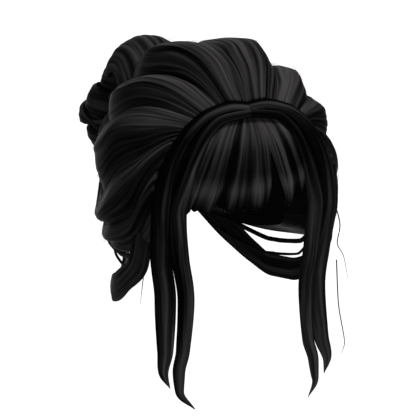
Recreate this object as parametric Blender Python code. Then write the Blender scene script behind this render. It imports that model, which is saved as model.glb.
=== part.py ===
"""Bun hairpiece: a black updo wig with a pleated crown, a fringe, two pairs of face locks,
loose bands and strands round the nape, and a bun of wound coils.

Metres, +Z up. The face looks along -Y and +X is the wearer's left. The origin is the point
where the top of the head touches the inside of the crown.
"""
import math
from collections import namedtuple

import bmesh
import bpy
from mathutils import Vector

MM = 0.001

# The head that the wig fits: its half sizes, and the point that the lining is measured from
HEAD_HALF_WIDTH = 80 * MM
HEAD_HALF_DEPTH = 98 * MM
HEAD_HALF_HEIGHT = 100 * MM
AIM_DROP = 108 * MM

# The crown: the hair's front lies just before the head, and its sides stand off the head
HAIRLINE_GAP = 1 * MM
SIDE_FULLNESS = 34 * MM
FRONT_REACH = HEAD_HALF_DEPTH + HAIRLINE_GAP
FRONT_RAKE = 6 * MM
FRONT_BAND = 12 * MM
CROWN_LENGTH = 205 * MM
CROWN_HALF_WIDTH = HEAD_HALF_WIDTH + SIDE_FULLNESS
CROWN_RISE = 47 * MM
CROWN_DROP = 150 * MM
PLEAT_DEPTH = 14 * MM
PARTING_DIP = 3.5 * MM

# The face locks, inside the crown's sides and inside each other
OUTER_LOCK_INSET = 24 * MM
INNER_LOCK_INSET = 16 * MM
INNER_LOCK_EXTRA = 16 * MM
OUTER_LOCK_REACH = CROWN_HALF_WIDTH - OUTER_LOCK_INSET
OUTER_LOCK_LENGTH = 262 * MM
OUTER_LOCK_WIDTH = 22 * MM
OUTER_LOCK_DEPTH = 7.5 * MM
INNER_LOCK_REACH = OUTER_LOCK_REACH - INNER_LOCK_INSET
INNER_LOCK_LENGTH = OUTER_LOCK_LENGTH + INNER_LOCK_EXTRA
INNER_LOCK_WIDTH = 17 * MM
INNER_LOCK_DEPTH = 8 * MM
INNER_LOCK_STEP = 4.5 * MM
LOCK_TOP = 5.5 * MM

# The fringe, between the inner locks
FRINGE_INSET = 6 * MM
FRINGE_REACH = INNER_LOCK_REACH - FRINGE_INSET
FRINGE_TOP = 7 * MM
FRINGE_DROP = 98 * MM
FRINGE_SWELL = 10 * MM
FRINGE_ROUND = 11 * MM
FRINGE_WALL = 3.5 * MM
FRINGE_RIDGE = 3 * MM

# The bands and strands round the nape, under the crown's sides and up to its back
NAPE_INSET = 12 * MM
NAPE_BEHIND = 18 * MM
NAPE_BELOW = 37 * MM
NAPE_REACH = CROWN_HALF_WIDTH - NAPE_INSET
NAPE_DEPTH = CROWN_LENGTH - FRONT_REACH + NAPE_BEHIND
NAPE_DROP = CROWN_DROP + NAPE_BELOW
BAND_WIDTH = 22 * MM
BAND_THICKNESS = 4.5 * MM
STRAND_DIAMETER = 4.6 * MM
FINE_STRAND_DIAMETER = 2.8 * MM
# The bands face outwards from this far behind the middle of the head
BAND_CENTRE_BACK = 10 * MM
BAND_STEPS = 26
STRAND_STEPS = 18

# The bun, behind the crown
BUN_BEHIND = 37 * MM
BUN_BACK = CROWN_LENGTH - FRONT_REACH + BUN_BEHIND
BUN_MIDDLE = 24 * MM
BUN_RADIUS = 48 * MM
# How far the core lies inside the bun's radius at its sides and at its ends
CORE_SIDE_INSET = 17 * MM
CORE_END_INSET = 4 * MM
BUN_CORE_HALF_WIDTH = BUN_RADIUS - CORE_SIDE_INSET
BUN_CORE_HALF_DEPTH = BUN_CORE_HALF_WIDTH
BUN_CORE_HALF_HEIGHT = BUN_RADIUS - CORE_END_INSET
BUN_TILT = math.radians(8)
CORE_LANES = 20
CORE_RINGS = 12
COIL_HEIGHT = 30 * MM
COIL_WALL = 5.5 * MM
# Share of its full height that a coil has at its ends
COIL_END = 0.55
# The lobe over the top of the bun: its half sizes, its place in the bun, and how far it
# runs round the bun from front to back and from side to side
CAP_SIDE_INSET = 6 * MM
CAP_DEPTH_INSET = 4 * MM
CAP_TOP_INSET = 3 * MM
CAP_HALF_WIDTH = BUN_RADIUS - CAP_SIDE_INSET
CAP_HALF_DEPTH = BUN_RADIUS - CAP_DEPTH_INSET
CAP_RISE = BUN_RADIUS - CAP_TOP_INSET
CAP_SHIFT = 7 * MM
CAP_FORWARD = 25 * MM
CAP_LIFT = 18 * MM
CAP_START = math.radians(0)
CAP_END = math.radians(165)
CAP_SPREAD = math.radians(75)
CAP_STEPS = 9
CAP_LANES = 7

# Clearance between one piece and the next, and how many times it a sharp corner may move
GAP = 0.35 * MM
CORNER_REACH = 2.5

# Points closer than these are one point, in a new solid and in one that has been cut
WELD = 0.001 * MM
CUT_WELD = 0.004 * MM
SHARP_EDGE = math.radians(35)

# Sections of the crown from the front hairline to the bun. Lengths are shares: top_back and
# low_back of CROWN_LENGTH, half_width of its own size, top of CROWN_RISE, middle and low of
# CROWN_DROP, pleat of PLEAT_DEPTH, parting of PARTING_DIP. wrap is how far round the head
# the section reaches from the top, and box squares the section off below 1.
Section = namedtuple("Section", "share top_back low_back half_width top middle low"
                                " wrap box pleat parting steps")
CROWN = (
    Section(0.00, 0.000, 0.024, 0.860, 0.06, 0.580, 0.813, 112, 1.00, 0.15, 1.0, 0),
    Section(0.12, 0.102, 0.122, 0.970, 0.63, 0.550, 0.920, 118, 0.92, 0.70, 0.4, 3),
    Section(0.32, 0.312, 0.335, 0.990, 0.92, 0.585, 0.970, 122, 0.87, 1.00, 0.0, 3),
    Section(0.52, 0.532, 0.540, 0.905, 0.84, 0.660, 0.975, 127, 0.87, 0.95, 0.0, 3),
    Section(0.70, 0.741, 0.751, 0.700, 0.40, 0.620, 0.915, 138, 0.87, 0.85, 0.0, 3),
    Section(0.84, 0.868, 0.951, 0.500, 0.16, 0.380, 0.787, 160, 0.90, 0.60, 0.0, 3),
    Section(0.92, 0.922, 1.010, 0.420, 0.04, 0.307, 0.707, 180, 0.95, 0.45, 0.0, 2),
    Section(1.00, 0.941, 1.054, 0.316, -0.05, 0.227, 0.460, 180, 1.00, 0.30, 0.0, 2),
)

# Lines of the pleats down one side, as shares of the section's wrap at four places along the
# crown, and how far each stands out (ridges) or in (valleys) as a share of the pleat depth.
Pleat = namedtuple("Pleat", "hairline crest flank gather height")
PLEAT_PLACES = (0.00, 0.12, 0.52, 0.92)
PLEATS = (
    Pleat(0.000, 0.000, 0.000, 0.000, 0.10),
    Pleat(0.104, 0.120, 0.160, 0.115, 0.70),
    Pleat(0.164, 0.198, 0.262, 0.205, -0.65),
    Pleat(0.248, 0.300, 0.380, 0.295, 0.35),
    Pleat(0.313, 0.385, 0.470, 0.378, -0.50),
    Pleat(0.383, 0.496, 0.578, 0.467, 0.35),
    Pleat(0.434, 0.615, 0.705, 0.570, -0.75),
    Pleat(0.494, 0.740, 0.805, 0.665, 0.22),
    Pleat(0.589, 0.825, 0.868, 0.755, -0.45),
    Pleat(0.714, 0.900, 0.928, 0.848, 0.33),
    Pleat(0.857, 0.953, 0.965, 0.922, -0.15),
    Pleat(1.000, 1.000, 1.000, 1.000, 0.10),
)
PLEAT_FULLNESS = 0.12

# Face locks from the parting to the tip. side is a share of the lock's reach, drop of its
# length, wide of its width, thick of its depth, and back moves it towards the head as a
# share of its depth.
LockRow = namedtuple("LockRow", "share side drop wide thick back")
OUTER_LOCK = (
    LockRow(0.00, 0.000, 0.000, 0.36, 0.85, 0.00),
    LockRow(0.07, 0.190, -0.007, 0.42, 0.90, 0.00),
    LockRow(0.17, 0.460, 0.016, 0.46, 0.95, 0.00),
    LockRow(0.25, 0.645, 0.060, 0.50, 1.00, 0.00),
    LockRow(0.33, 0.800, 0.125, 0.59, 1.00, 0.00),
    LockRow(0.41, 0.911, 0.202, 0.68, 1.00, 0.00),
    LockRow(0.49, 0.972, 0.286, 0.82, 1.00, 0.00),
    LockRow(0.57, 0.995, 0.370, 0.92, 1.00, 0.00),
    LockRow(0.69, 0.950, 0.542, 0.94, 1.00, -0.90),
    LockRow(0.80, 0.892, 0.690, 0.97, 1.00, -1.05),
    LockRow(0.91, 0.930, 0.870, 0.72, 0.85, -0.35),
    LockRow(0.96, 0.975, 0.943, 0.46, 0.60, 0.12),
    LockRow(1.00, 0.920, 1.000, 0.03, 0.06, 0.50),
)
INNER_LOCK = (
    LockRow(0.00, 0.000, 0.020, 0.44, 0.80, 0.00),
    LockRow(0.10, 0.390, 0.036, 0.50, 0.85, 0.00),
    LockRow(0.18, 0.610, 0.085, 0.66, 0.95, 0.00),
    LockRow(0.24, 0.735, 0.137, 0.76, 1.00, 0.00),
    LockRow(0.31, 0.860, 0.205, 0.85, 1.00, 0.00),
    LockRow(0.38, 0.930, 0.268, 1.02, 1.00, 0.00),
    LockRow(0.46, 1.000, 0.350, 1.06, 1.00, -0.10),
    LockRow(0.62, 0.946, 0.503, 1.00, 1.00, -0.23),
    LockRow(0.75, 0.865, 0.650, 0.96, 1.00, -0.23),
    LockRow(0.86, 0.905, 0.822, 0.77, 0.90, -0.35),
    LockRow(0.91, 0.972, 0.893, 0.68, 0.80, -0.20),
    LockRow(0.95, 0.980, 0.957, 0.47, 0.60, 0.05),
    LockRow(1.00, 0.820, 1.015, 0.03, 0.06, 0.90),
)
LOCK_STEPS = 26
# Outline of a lock's section, from its outer edge round the front to the back: a narrow
# face turned outwards, a ridge, and a wide face turned to the front.
LOCK_OUTLINE = ((-0.50, -0.50), (-0.50, -0.15), (-0.15, 0.50), (0.30, 0.32), (0.50, 0.00),
                (0.46, -0.50))

# Clumps of the fringe along its lower edge. left, ridge and right are shares of
# FRINGE_REACH, tip and notch of FRINGE_DROP, and stand of FRINGE_RIDGE. A notch is where the
# clump meets the next one. A split clump parts from the next one below the split row.
Clump = namedtuple("Clump", "left ridge right tip notch stand split")
CLUMPS = (
    Clump(-1.000, -0.920, -0.850, 0.990, 0.935, 0.8, False),
    Clump(-0.850, -0.810, -0.765, 0.970, 0.960, 0.3, False),
    Clump(-0.765, -0.650, -0.515, 1.000, 0.930, 1.0, False),
    Clump(-0.515, -0.300, -0.135, 1.000, 0.985, 0.9, False),
    Clump(-0.135, -0.065, -0.010, 0.995, 0.975, 0.4, False),
    Clump(-0.010, 0.120, 0.215, 0.985, 0.960, 1.0, False),
    Clump(0.215, 0.265, 0.310, 0.960, 0.930, 0.5, True),
    Clump(0.590, 0.680, 0.765, 0.985, 0.900, 0.9, False),
    Clump(0.765, 0.860, 1.000, 0.905, 0.860, 0.7, False),
)
FRINGE_STEPS = 9
FRINGE_SPLIT_ROW = 4
# How the clumps bow outwards on their way down, in the middle and at the sides, and the
# share of the width that they start from
FRINGE_BOW_MIDDLE = 0.75
FRINGE_BOW_SIDE = 0.40
FRINGE_ROOT = 0.06
# Rows down the fringe: swell is how far forward it stands, as a share of FRINGE_SWELL, and
# ridge how much the clumps show.
FringeRow = namedtuple("FringeRow", "share swell ridge wall")
FRINGE_ROWS = (
    FringeRow(0.00, 0.00, 0.00, 1.1),
    FringeRow(0.08, 0.20, 0.15, 1.0),
    FringeRow(0.20, 0.55, 0.45, 1.0),
    FringeRow(0.45, 0.95, 0.80, 1.0),
    FringeRow(0.75, 1.00, 1.00, 1.0),
    FringeRow(0.92, 0.85, 1.00, 0.9),
    FringeRow(1.00, 0.62, 0.85, 0.5),
)

# Routes round the nape. side is a share of NAPE_REACH, back of NAPE_DEPTH, drop of
# NAPE_DROP and wide of the piece's own width.
Route = namedtuple("Route", "share side back drop wide")
BAND_LEFT = (
    Route(0.00, 0.950, -0.660, 0.540, 0.75),
    Route(0.12, 1.000, -0.610, 0.775, 0.95),
    Route(0.24, 0.970, -0.390, 0.898, 1.00),
    Route(0.36, 0.905, -0.170, 0.963, 1.00),
    Route(0.47, 0.823, 0.040, 0.960, 1.00),
    Route(0.57, 0.745, 0.242, 0.905, 1.00),
    Route(0.67, 0.647, 0.480, 0.808, 1.00),
    Route(0.77, 0.539, 0.670, 0.700, 0.95),
    Route(0.89, 0.373, 0.850, 0.567, 0.85),
    Route(1.00, 0.190, 0.950, 0.455, 0.70),
)
BAND_RIGHT = (
    Route(0.00, 0.950, -0.660, 0.540, 0.75),
    Route(0.12, 1.000, -0.600, 0.800, 0.95),
    Route(0.24, 1.005, -0.390, 0.905, 1.00),
    Route(0.38, 0.940, -0.085, 0.990, 1.10),
    Route(0.50, 0.735, 0.160, 0.990, 1.00),
    Route(0.62, 0.490, 0.430, 0.920, 1.00),
    Route(0.74, 0.350, 0.680, 0.800, 0.95),
    Route(0.88, 0.230, 0.840, 0.640, 0.85),
    Route(1.00, 0.120, 0.950, 0.475, 0.70),
)
STRAND = (
    Route(0.00, 0.880, -0.500, 0.732, 1.0),
    Route(0.14, 0.880, -0.320, 0.802, 1.0),
    Route(0.34, 0.824, -0.040, 0.822, 1.0),
    Route(0.46, 0.794, 0.040, 0.822, 1.0),
    Route(0.58, 0.740, 0.282, 0.798, 1.0),
    Route(0.70, 0.637, 0.480, 0.749, 1.0),
    Route(0.82, 0.490, 0.690, 0.647, 1.0),
    Route(0.92, 0.294, 0.850, 0.531, 1.0),
    Route(1.00, 0.120, 0.960, 0.446, 1.0),
)
FINE_STRAND = (
    Route(0.00, 0.850, -0.500, 0.792, 1.0),
    Route(0.14, 0.855, -0.320, 0.868, 1.0),
    Route(0.34, 0.795, -0.040, 0.890, 1.0),
    Route(0.46, 0.755, 0.040, 0.890, 1.0),
    Route(0.58, 0.680, 0.282, 0.864, 1.0),
    Route(0.70, 0.580, 0.480, 0.812, 1.0),
    Route(0.82, 0.435, 0.690, 0.712, 1.0),
    Route(0.92, 0.245, 0.860, 0.600, 1.0),
    Route(1.00, 0.090, 0.960, 0.450, 1.0),
)
# Outline of a band's section: flat inside, slightly full outside.
BAND_OUTLINE = ((-0.50, -0.30), (-0.50, 0.10), (-0.20, 0.50), (0.20, 0.50), (0.50, 0.10),
                (0.50, -0.30), (0.00, -0.50))

# Coils of the bun from the crown of it down. level is the middle of the band below or above
# the bun's middle, and reach its radius, both as shares of BUN_RADIUS; height is a share of
# COIL_HEIGHT; lean turns the upper edge outwards, in degrees; shift moves the loop sideways.
# The band starts at an angle of start degrees and sweeps that many degrees round, and grow
# is how much wider its loop gets on the way.
Coil = namedtuple("Coil", "name level reach height lean shift start sweep grow")
COILS = (
    Coil("bun_coil_upper", 0.24, 0.58, 0.95, -16, 0.02, 150, 300, 0.10),
    Coil("bun_coil_middle", -0.12, 0.79, 1.00, -16, 0.00, 100, 325, 0.10),
    Coil("bun_coil_lower", -0.55, 0.94, 0.85, 4, 0.02, 200, 325, 0.06),
    Coil("bun_coil_base", -0.93, 0.69, 0.85, 24, -0.02, 60, 325, 0.06),
)
COIL_STEPS = 18
# Outline across a coil's band: place along its height, and bulge as a share of COIL_WALL.
COIL_OUTLINE = ((-0.50, -0.40), (-0.36, 0.38), (0.00, 0.60), (0.36, 0.38), (0.50, -0.20),
                (0.00, -0.60))

HAIR = (0.012, 0.012, 0.013, 1.0)
HAIR_ROUGHNESS = 0.42


def eased(stops, values, at):
    """Value at a place of a quantity given at rising stops, smooth and never overshooting."""
    last = len(stops) - 1
    if at <= stops[0]:
        return values[0]
    if at >= stops[last]:
        return values[last]
    rises = [(values[k + 1] - values[k]) / (stops[k + 1] - stops[k]) for k in range(last)]
    slopes = [rises[0]]
    for before, after in zip(rises, rises[1:]):
        level = before * after <= 0
        slopes.append(0.0 if level else 2 * before * after / (before + after))
    slopes.append(rises[-1])
    k = max(i for i in range(last) if stops[i] <= at)
    span = stops[k + 1] - stops[k]
    t = (at - stops[k]) / span
    return ((1 + 2 * t) * (1 - t) ** 2 * values[k] + t * (1 - t) ** 2 * span * slopes[k]
            + t * t * (3 - 2 * t) * values[k + 1] + t * t * (t - 1) * span * slopes[k + 1])


def between(rows, at):
    """Row of a table at a share along it, with every column eased."""
    stops = [row.share for row in rows]
    return type(rows[0])(*(eased(stops, column, at) for column in zip(*rows)))


def front_at(z):
    """Y of the crown's flat front at a height."""
    return -FRONT_REACH - FRONT_RAKE * (z - CROWN_RISE * CROWN[0].top) / CROWN_DROP


def on_head(point):
    """Point of the head's surface straight inwards from a point of the crown."""
    scale = Vector((1 / HEAD_HALF_WIDTH, 1 / HEAD_HALF_DEPTH, 1 / HEAD_HALF_HEIGHT))
    start = Vector((0, 0, HEAD_HALF_HEIGHT - AIM_DROP)) * scale
    step = (point - Vector((0, 0, -AIM_DROP))) * scale
    a, b, c = step.dot(step), 2 * start.dot(step), start.dot(start) - 1
    reach = (-b + math.sqrt(b * b - 4 * a * c)) / (2 * a)
    return Vector((0, 0, -AIM_DROP)) + (point - Vector((0, 0, -AIM_DROP))) * reach


def pleat_lines():
    """Lines down one side of the crown with a fuller line half way between neighbours."""
    lines = [PLEATS[0]]
    for one, two in zip(PLEATS, PLEATS[1:]):
        middle = [(a + b) / 2 for a, b in zip(one, two)]
        middle[-1] += PLEAT_FULLNESS
        lines += [Pleat(*middle), two]
    return lines


def crown_point(row, line, side, swell):
    """Point of the crown on one pleat line of one section."""
    angle = math.radians(row.wrap * eased(PLEAT_PLACES, line[:-1], row.share))
    sine, cosine = math.sin(angle), math.cos(angle)
    z_top, z_mid, z_low = CROWN_RISE * row.top, -CROWN_DROP * row.middle, -CROWN_DROP * row.low
    across = CROWN_HALF_WIDTH * row.half_width * abs(sine) ** row.box
    if cosine >= 0:
        z = z_mid + (z_top - z_mid) * cosine ** row.box
    else:
        lowest = abs(math.cos(math.radians(row.wrap))) ** row.box
        z = z_mid - (z_mid - z_low) * abs(cosine) ** row.box / lowest
    back = row.top_back + (row.low_back - row.top_back) * (z_top - z) / (z_top - z_low)
    if row.share == 0:
        y = front_at(z)
    else:
        y = -FRONT_REACH + CROWN_LENGTH * back
    out = swell * line.height * row.pleat * PLEAT_DEPTH
    if line is PLEATS[0]:
        out -= swell * row.parting * PARTING_DIP
    return Vector((side * (across + out * sine), y, z + out * cosine))


def quads(grid_a, grid_b):
    """Quads of the strip between two rows of points of the same length."""
    return [(a, b, d, c) for a, b, c, d in zip(grid_a, grid_a[1:], grid_b, grid_b[1:])]


def solid(name, faces):
    """Object of a closed solid from faces given by their points, welded and facing out."""
    mesh = bpy.data.meshes.new(name)
    work = bmesh.new()
    for points in faces:
        corners = [point for k, point in enumerate(points)
                   if (point - points[k - 1]).length > WELD]
        if len(corners) > 2:
            work.faces.new([work.verts.new(point) for point in corners])
    bmesh.ops.remove_doubles(work, verts=work.verts, dist=WELD)
    bmesh.ops.dissolve_degenerate(work, edges=work.edges, dist=WELD)
    bmesh.ops.triangulate(work, faces=work.faces)
    bmesh.ops.recalc_face_normals(work, faces=work.faces)
    work.to_mesh(mesh)
    work.free()
    return add_object(name, mesh)


def add_object(name, mesh):
    """Object of a mesh in the part's collection, finished as hair, with its clearance."""
    grow(name, mesh)
    piece = bpy.data.objects.new(name, mesh)
    bpy.data.collections["bun_hairpiece"].objects.link(piece)
    mesh.materials.append(hair_material(name))
    mesh.shade_smooth()
    mesh.set_sharp_from_angle(angle=SHARP_EDGE)
    return piece


def hair_material(name):
    """Glossy near-black hair."""
    material = bpy.data.materials.new("hair_" + name)
    material.use_nodes = True
    shader = material.node_tree.nodes["Principled BSDF"]
    shader.inputs["Base Color"].default_value = HAIR
    shader.inputs["Roughness"].default_value = HAIR_ROUGHNESS
    shader.inputs["Metallic"].default_value = 0.0
    return material


def loft(name, rings):
    """Closed solid through rings of points, with both ends capped."""
    faces = []
    for one, two in zip(rings, rings[1:]):
        faces += quads(one + one[:1], two + two[:1])
    faces += [tuple(reversed(rings[0])), tuple(rings[-1])]
    return solid(name, faces)


def grow(name, mesh):
    """Keep a copy of a piece's uncut mesh, grown by the gap, as what its neighbours clear."""
    work = bmesh.new()
    work.from_mesh(mesh)
    work.normal_update()
    moves = [vert.normal * GAP * min(vert.calc_shell_factor(), CORNER_REACH) for vert in work.verts]
    for vert, move in zip(work.verts, moves):
        vert.co += move
    work.to_mesh(bpy.data.meshes.new(name + "_clearance"))
    work.free()


def trim(piece, *neighbours):
    """Cut a piece back to its clearance from its neighbours and keep its largest body."""
    for neighbour in neighbours:
        cutter = bpy.data.objects.new("clearance_" + neighbour.name,
                                      bpy.data.meshes[neighbour.name + "_clearance"])
        bpy.data.collections["bun_hairpiece_cutters"].objects.link(cutter)
        cutter.hide_render = True
        cutter.display_type = "WIRE"
        cut = piece.modifiers.new("clear_" + neighbour.name, "BOOLEAN")
        cut.operation = "DIFFERENCE"
        cut.object = cutter
        bpy.context.view_layer.update()
        graph = bpy.context.evaluated_depsgraph_get()
        mesh = bpy.data.meshes.new_from_object(piece.evaluated_get(graph))
        piece.modifiers.clear()
        piece.data = mesh
        bpy.data.objects.remove(cutter)
    keep_largest(piece.data)


def keep_largest(mesh):
    """Leave only the largest body of a mesh, welded and triangulated."""
    work = bmesh.new()
    work.from_mesh(mesh)
    bmesh.ops.remove_doubles(work, verts=work.verts, dist=CUT_WELD)
    bmesh.ops.dissolve_degenerate(work, edges=work.edges, dist=CUT_WELD)
    bodies, left = [], set(work.faces)
    while left:
        body, front = set(), [left.pop()]
        while front:
            face = front.pop()
            body.add(face)
            near = {other for edge in face.edges for other in edge.link_faces} & left
            left -= near
            front += near
        bodies.append(body)
    largest = max(bodies, key=lambda body: sum(face.calc_area() for face in body))
    loose = [face for face in work.faces if face not in largest]
    bmesh.ops.delete(work, geom=loose, context="FACES")
    bmesh.ops.triangulate(work, faces=work.faces)
    bmesh.ops.recalc_face_normals(work, faces=work.faces)
    work.to_mesh(mesh)
    work.free()


def crown():
    """Pleated shell from the hairline to the bun, hollow to the head's shape."""
    half = pleat_lines()
    lines = [(line, -1) for line in reversed(half[1:])] + [(line, 1) for line in half]
    shares = [CROWN[0].share]
    for one, two in zip(CROWN, CROWN[1:]):
        shares += [one.share + (two.share - one.share) * (k + 1) / two.steps
                   for k in range(two.steps)]
    rows = [between(CROWN, share) for share in shares]
    outer = [[crown_point(row, line, side, 1) for line, side in lines] for row in rows]
    inner = [[on_head(crown_point(row, line, side, 0)) for line, side in lines]
             for row in rows]
    band = []
    for point in outer[0]:
        inward = Vector((-point.x, 0, -CROWN_DROP * CROWN[0].middle - point.z)).normalized()
        spot = point + inward * FRONT_BAND
        band.append(Vector((spot.x, front_at(spot.z), spot.z)))
    faces = quads(outer[0], band) + quads(band, inner[0])
    for grid in (outer, inner):
        for one, two in zip(grid, grid[1:]):
            faces += quads(one, two)
    open_rows = 1 + sum(row.wrap < CROWN[-1].wrap for row in rows)
    for end in (0, -1):
        faces.append((outer[0][end], band[end], inner[0][end]))
        faces += quads([row[end] for row in outer[:open_rows]],
                       [row[end] for row in inner[:open_rows]])
    middle = sum(outer[-1], Vector()) / len(outer[-1])
    for ring, centre in ((outer[-1], middle), (inner[-1], on_head(middle))):
        faces += [(one, two, centre) for one, two in zip(ring, ring[1:])]
    return solid("crown", faces)


def face_lock(name, table, side, reach, length, width, depth, step):
    """One face lock: a two-faced lock along the hairline, hanging to a pointed tip."""
    rows = [between(table, k / LOCK_STEPS) for k in range(LOCK_STEPS + 1)]
    centres = []
    for row in rows:
        z = -LOCK_TOP - length * row.drop
        y = front_at(max(z, -CROWN_DROP * CROWN[0].low)) - GAP - depth * (0.5 + row.back)
        centres.append(Vector((side * (GAP / 2 + reach * row.side), y - step, z)))
    rings = []
    for k, (row, centre) in enumerate(zip(rows, centres)):
        ahead = centres[min(k + 1, len(rows) - 1)]
        behind = centres[max(k - 1, 0)]
        run = (ahead - behind).normalized()
        if k == 0:
            run = Vector((side, 0, 0))
        forward = Vector((0, -1, 0))
        across = run.cross(forward).normalized() * side
        ring = []
        for along, out in LOCK_OUTLINE:
            ring.append(centre + across * along * width * row.wide
                        + forward * out * depth * row.thick)
        rings.append(ring)
    return loft(name, rings)


def fringe_lobes():
    """Columns of the fringe in groups that part from each other below the split row."""
    lobes, columns, notch = [], [], CLUMPS[0].notch
    for clump in CLUMPS:
        if not columns:
            columns.append((clump.left, notch, 0))
        columns += [(clump.ridge, clump.tip, clump.stand), (clump.right, clump.notch, 0)]
        notch = clump.notch
        if clump.split or clump is CLUMPS[-1]:
            lobes.append(columns)
            columns = []
    return lobes


def fringe():
    """Fan of fused clumps from the parting to the brow, split to the left of the middle."""
    lobes = fringe_lobes()
    closed = (lobes[0][-1][0] + lobes[1][0][0]) / 2
    faces = []
    for lobe in lobes:
        outer, inner = [], []
        for k in range(FRINGE_STEPS + 1):
            share = k / FRINGE_STEPS
            row = between(FRINGE_ROWS, share)
            parted = max(0, k - FRINGE_SPLIT_ROW) / (FRINGE_STEPS - FRINGE_SPLIT_ROW)
            front, rear = [], []
            for at, tip, stand in lobe:
                if at in (lobes[0][-1][0], lobes[1][0][0]):
                    at = closed + (at - closed) * parted
                bow = FRINGE_BOW_MIDDLE + (FRINGE_BOW_SIDE - FRINGE_BOW_MIDDLE) * abs(at)
                x = FRINGE_REACH * at * (FRINGE_ROOT + (1 - FRINGE_ROOT) * share ** bow)
                z = -FRINGE_TOP - FRINGE_DROP * tip * share
                y = (front_at(z) - GAP - FRINGE_WALL * FRINGE_ROWS[0].wall
                     - FRINGE_SWELL * row.swell
                     + FRINGE_ROUND * (x / FRINGE_REACH) ** 2 * share)
                front.append(Vector((x, y - FRINGE_RIDGE * stand * row.ridge, z)))
                rear.append(Vector((x, y + FRINGE_WALL * row.wall, z)))
            outer.append(front)
            inner.append(rear)
        faces += quads(outer[0], inner[0]) + quads(outer[-1], inner[-1])
        for grid in (outer, inner):
            for one, two in zip(grid, grid[1:]):
                faces += quads(one, two)
        for end in (0, -1):
            outside = (lobe is lobes[0]) == (end == 0)
            start = 0 if outside else FRINGE_SPLIT_ROW
            faces += quads([row[end] for row in outer[start:]],
                           [row[end] for row in inner[start:]])
    return solid("fringe", faces)


def route(table, side, count):
    """Points along a route round the nape, with the width at each."""
    points = []
    for k in range(count + 1):
        row = between(table, k / count)
        points.append((Vector((side * NAPE_REACH * row.side, NAPE_DEPTH * row.back,
                               -NAPE_DROP * row.drop)), row.wide))
    return points


def nape_band(name, table, side):
    """Flat loose band from the temple, under the ear and up to the bun."""
    points = route(table, side, BAND_STEPS)
    rings = []
    for k, (point, wide) in enumerate(points):
        run = (points[min(k + 1, BAND_STEPS)][0] - points[max(k - 1, 0)][0]).normalized()
        outward = Vector((point.x, point.y - BAND_CENTRE_BACK, 0)).normalized()
        across = run.cross(outward).normalized()
        outward = across.cross(run).normalized()
        rings.append([point + across * along * BAND_WIDTH * wide
                      + outward * out * BAND_THICKNESS for along, out in BAND_OUTLINE])
    return loft(name, rings)


def nape_strand(name, table, side, diameter):
    """Thin round strand that hangs beside the band."""
    curve = bpy.data.curves.new(name, "CURVE")
    curve.dimensions = "3D"
    curve.bevel_depth = diameter / 2
    curve.bevel_resolution = 1
    curve.use_fill_caps = True
    points = [point for point, wide in route(table, side, STRAND_STEPS)]
    spline = curve.splines.new("POLY")
    spline.points.add(len(points) - 1)
    for spot, point in zip(spline.points, points):
        spot.co = (*point, 1)
    tube = bpy.data.objects.new(name + "_curve", curve)
    bpy.data.collections["bun_hairpiece_cutters"].objects.link(tube)
    bpy.context.view_layer.update()
    graph = bpy.context.evaluated_depsgraph_get()
    mesh = bpy.data.meshes.new_from_object(tube.evaluated_get(graph))
    mesh.name = name
    bpy.data.objects.remove(tube)
    work = bmesh.new()
    work.from_mesh(mesh)
    bmesh.ops.remove_doubles(work, verts=work.verts, dist=WELD)
    work.to_mesh(mesh)
    work.free()
    return add_object(name, mesh)


def bun_frame(point):
    """Point of the bun's own frame, tilted with the bun, in the part's frame."""
    cosine, sine = math.cos(BUN_TILT), math.sin(BUN_TILT)
    return Vector((point.x, BUN_BACK + point.y * cosine - point.z * sine,
                   -BUN_MIDDLE + point.y * sine + point.z * cosine))


def bun_core():
    """Wound middle of the bun that the coils lie round."""
    mesh = bpy.data.meshes.new("bun_core")
    work = bmesh.new()
    bmesh.ops.create_uvsphere(work, u_segments=CORE_LANES, v_segments=CORE_RINGS, radius=1)
    for vert in work.verts:
        vert.co = bun_frame(Vector((vert.co.x * BUN_CORE_HALF_WIDTH,
                                    vert.co.y * BUN_CORE_HALF_DEPTH,
                                    vert.co.z * BUN_CORE_HALF_HEIGHT)))
    bmesh.ops.triangulate(work, faces=work.faces)
    work.to_mesh(mesh)
    work.free()
    return add_object("bun_core", mesh)


def bun_coil(coil):
    """One band wound most of the way round the bun, growing outwards as it goes."""
    rings = []
    lean = math.radians(coil.lean)
    for k in range(COIL_STEPS + 1):
        share = k / COIL_STEPS
        angle = math.radians(coil.start + coil.sweep * share)
        outward = Vector((math.cos(angle), math.sin(angle), 0))
        reach = BUN_RADIUS * (coil.reach + coil.grow * (share - 0.5))
        centre = outward * reach + Vector((BUN_RADIUS * coil.shift, 0,
                                           BUN_RADIUS * coil.level))
        full = COIL_END + (1 - COIL_END) * math.sqrt(math.sin(math.pi * share))
        up = Vector((0, 0, math.cos(lean))) + outward * math.sin(lean)
        out = outward * math.cos(lean) - Vector((0, 0, math.sin(lean)))
        rings.append([bun_frame(centre + up * along * COIL_HEIGHT * coil.height * full
                                + out * bulge * COIL_WALL) for along, bulge in COIL_OUTLINE])
    return loft(coil.name, rings)


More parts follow.
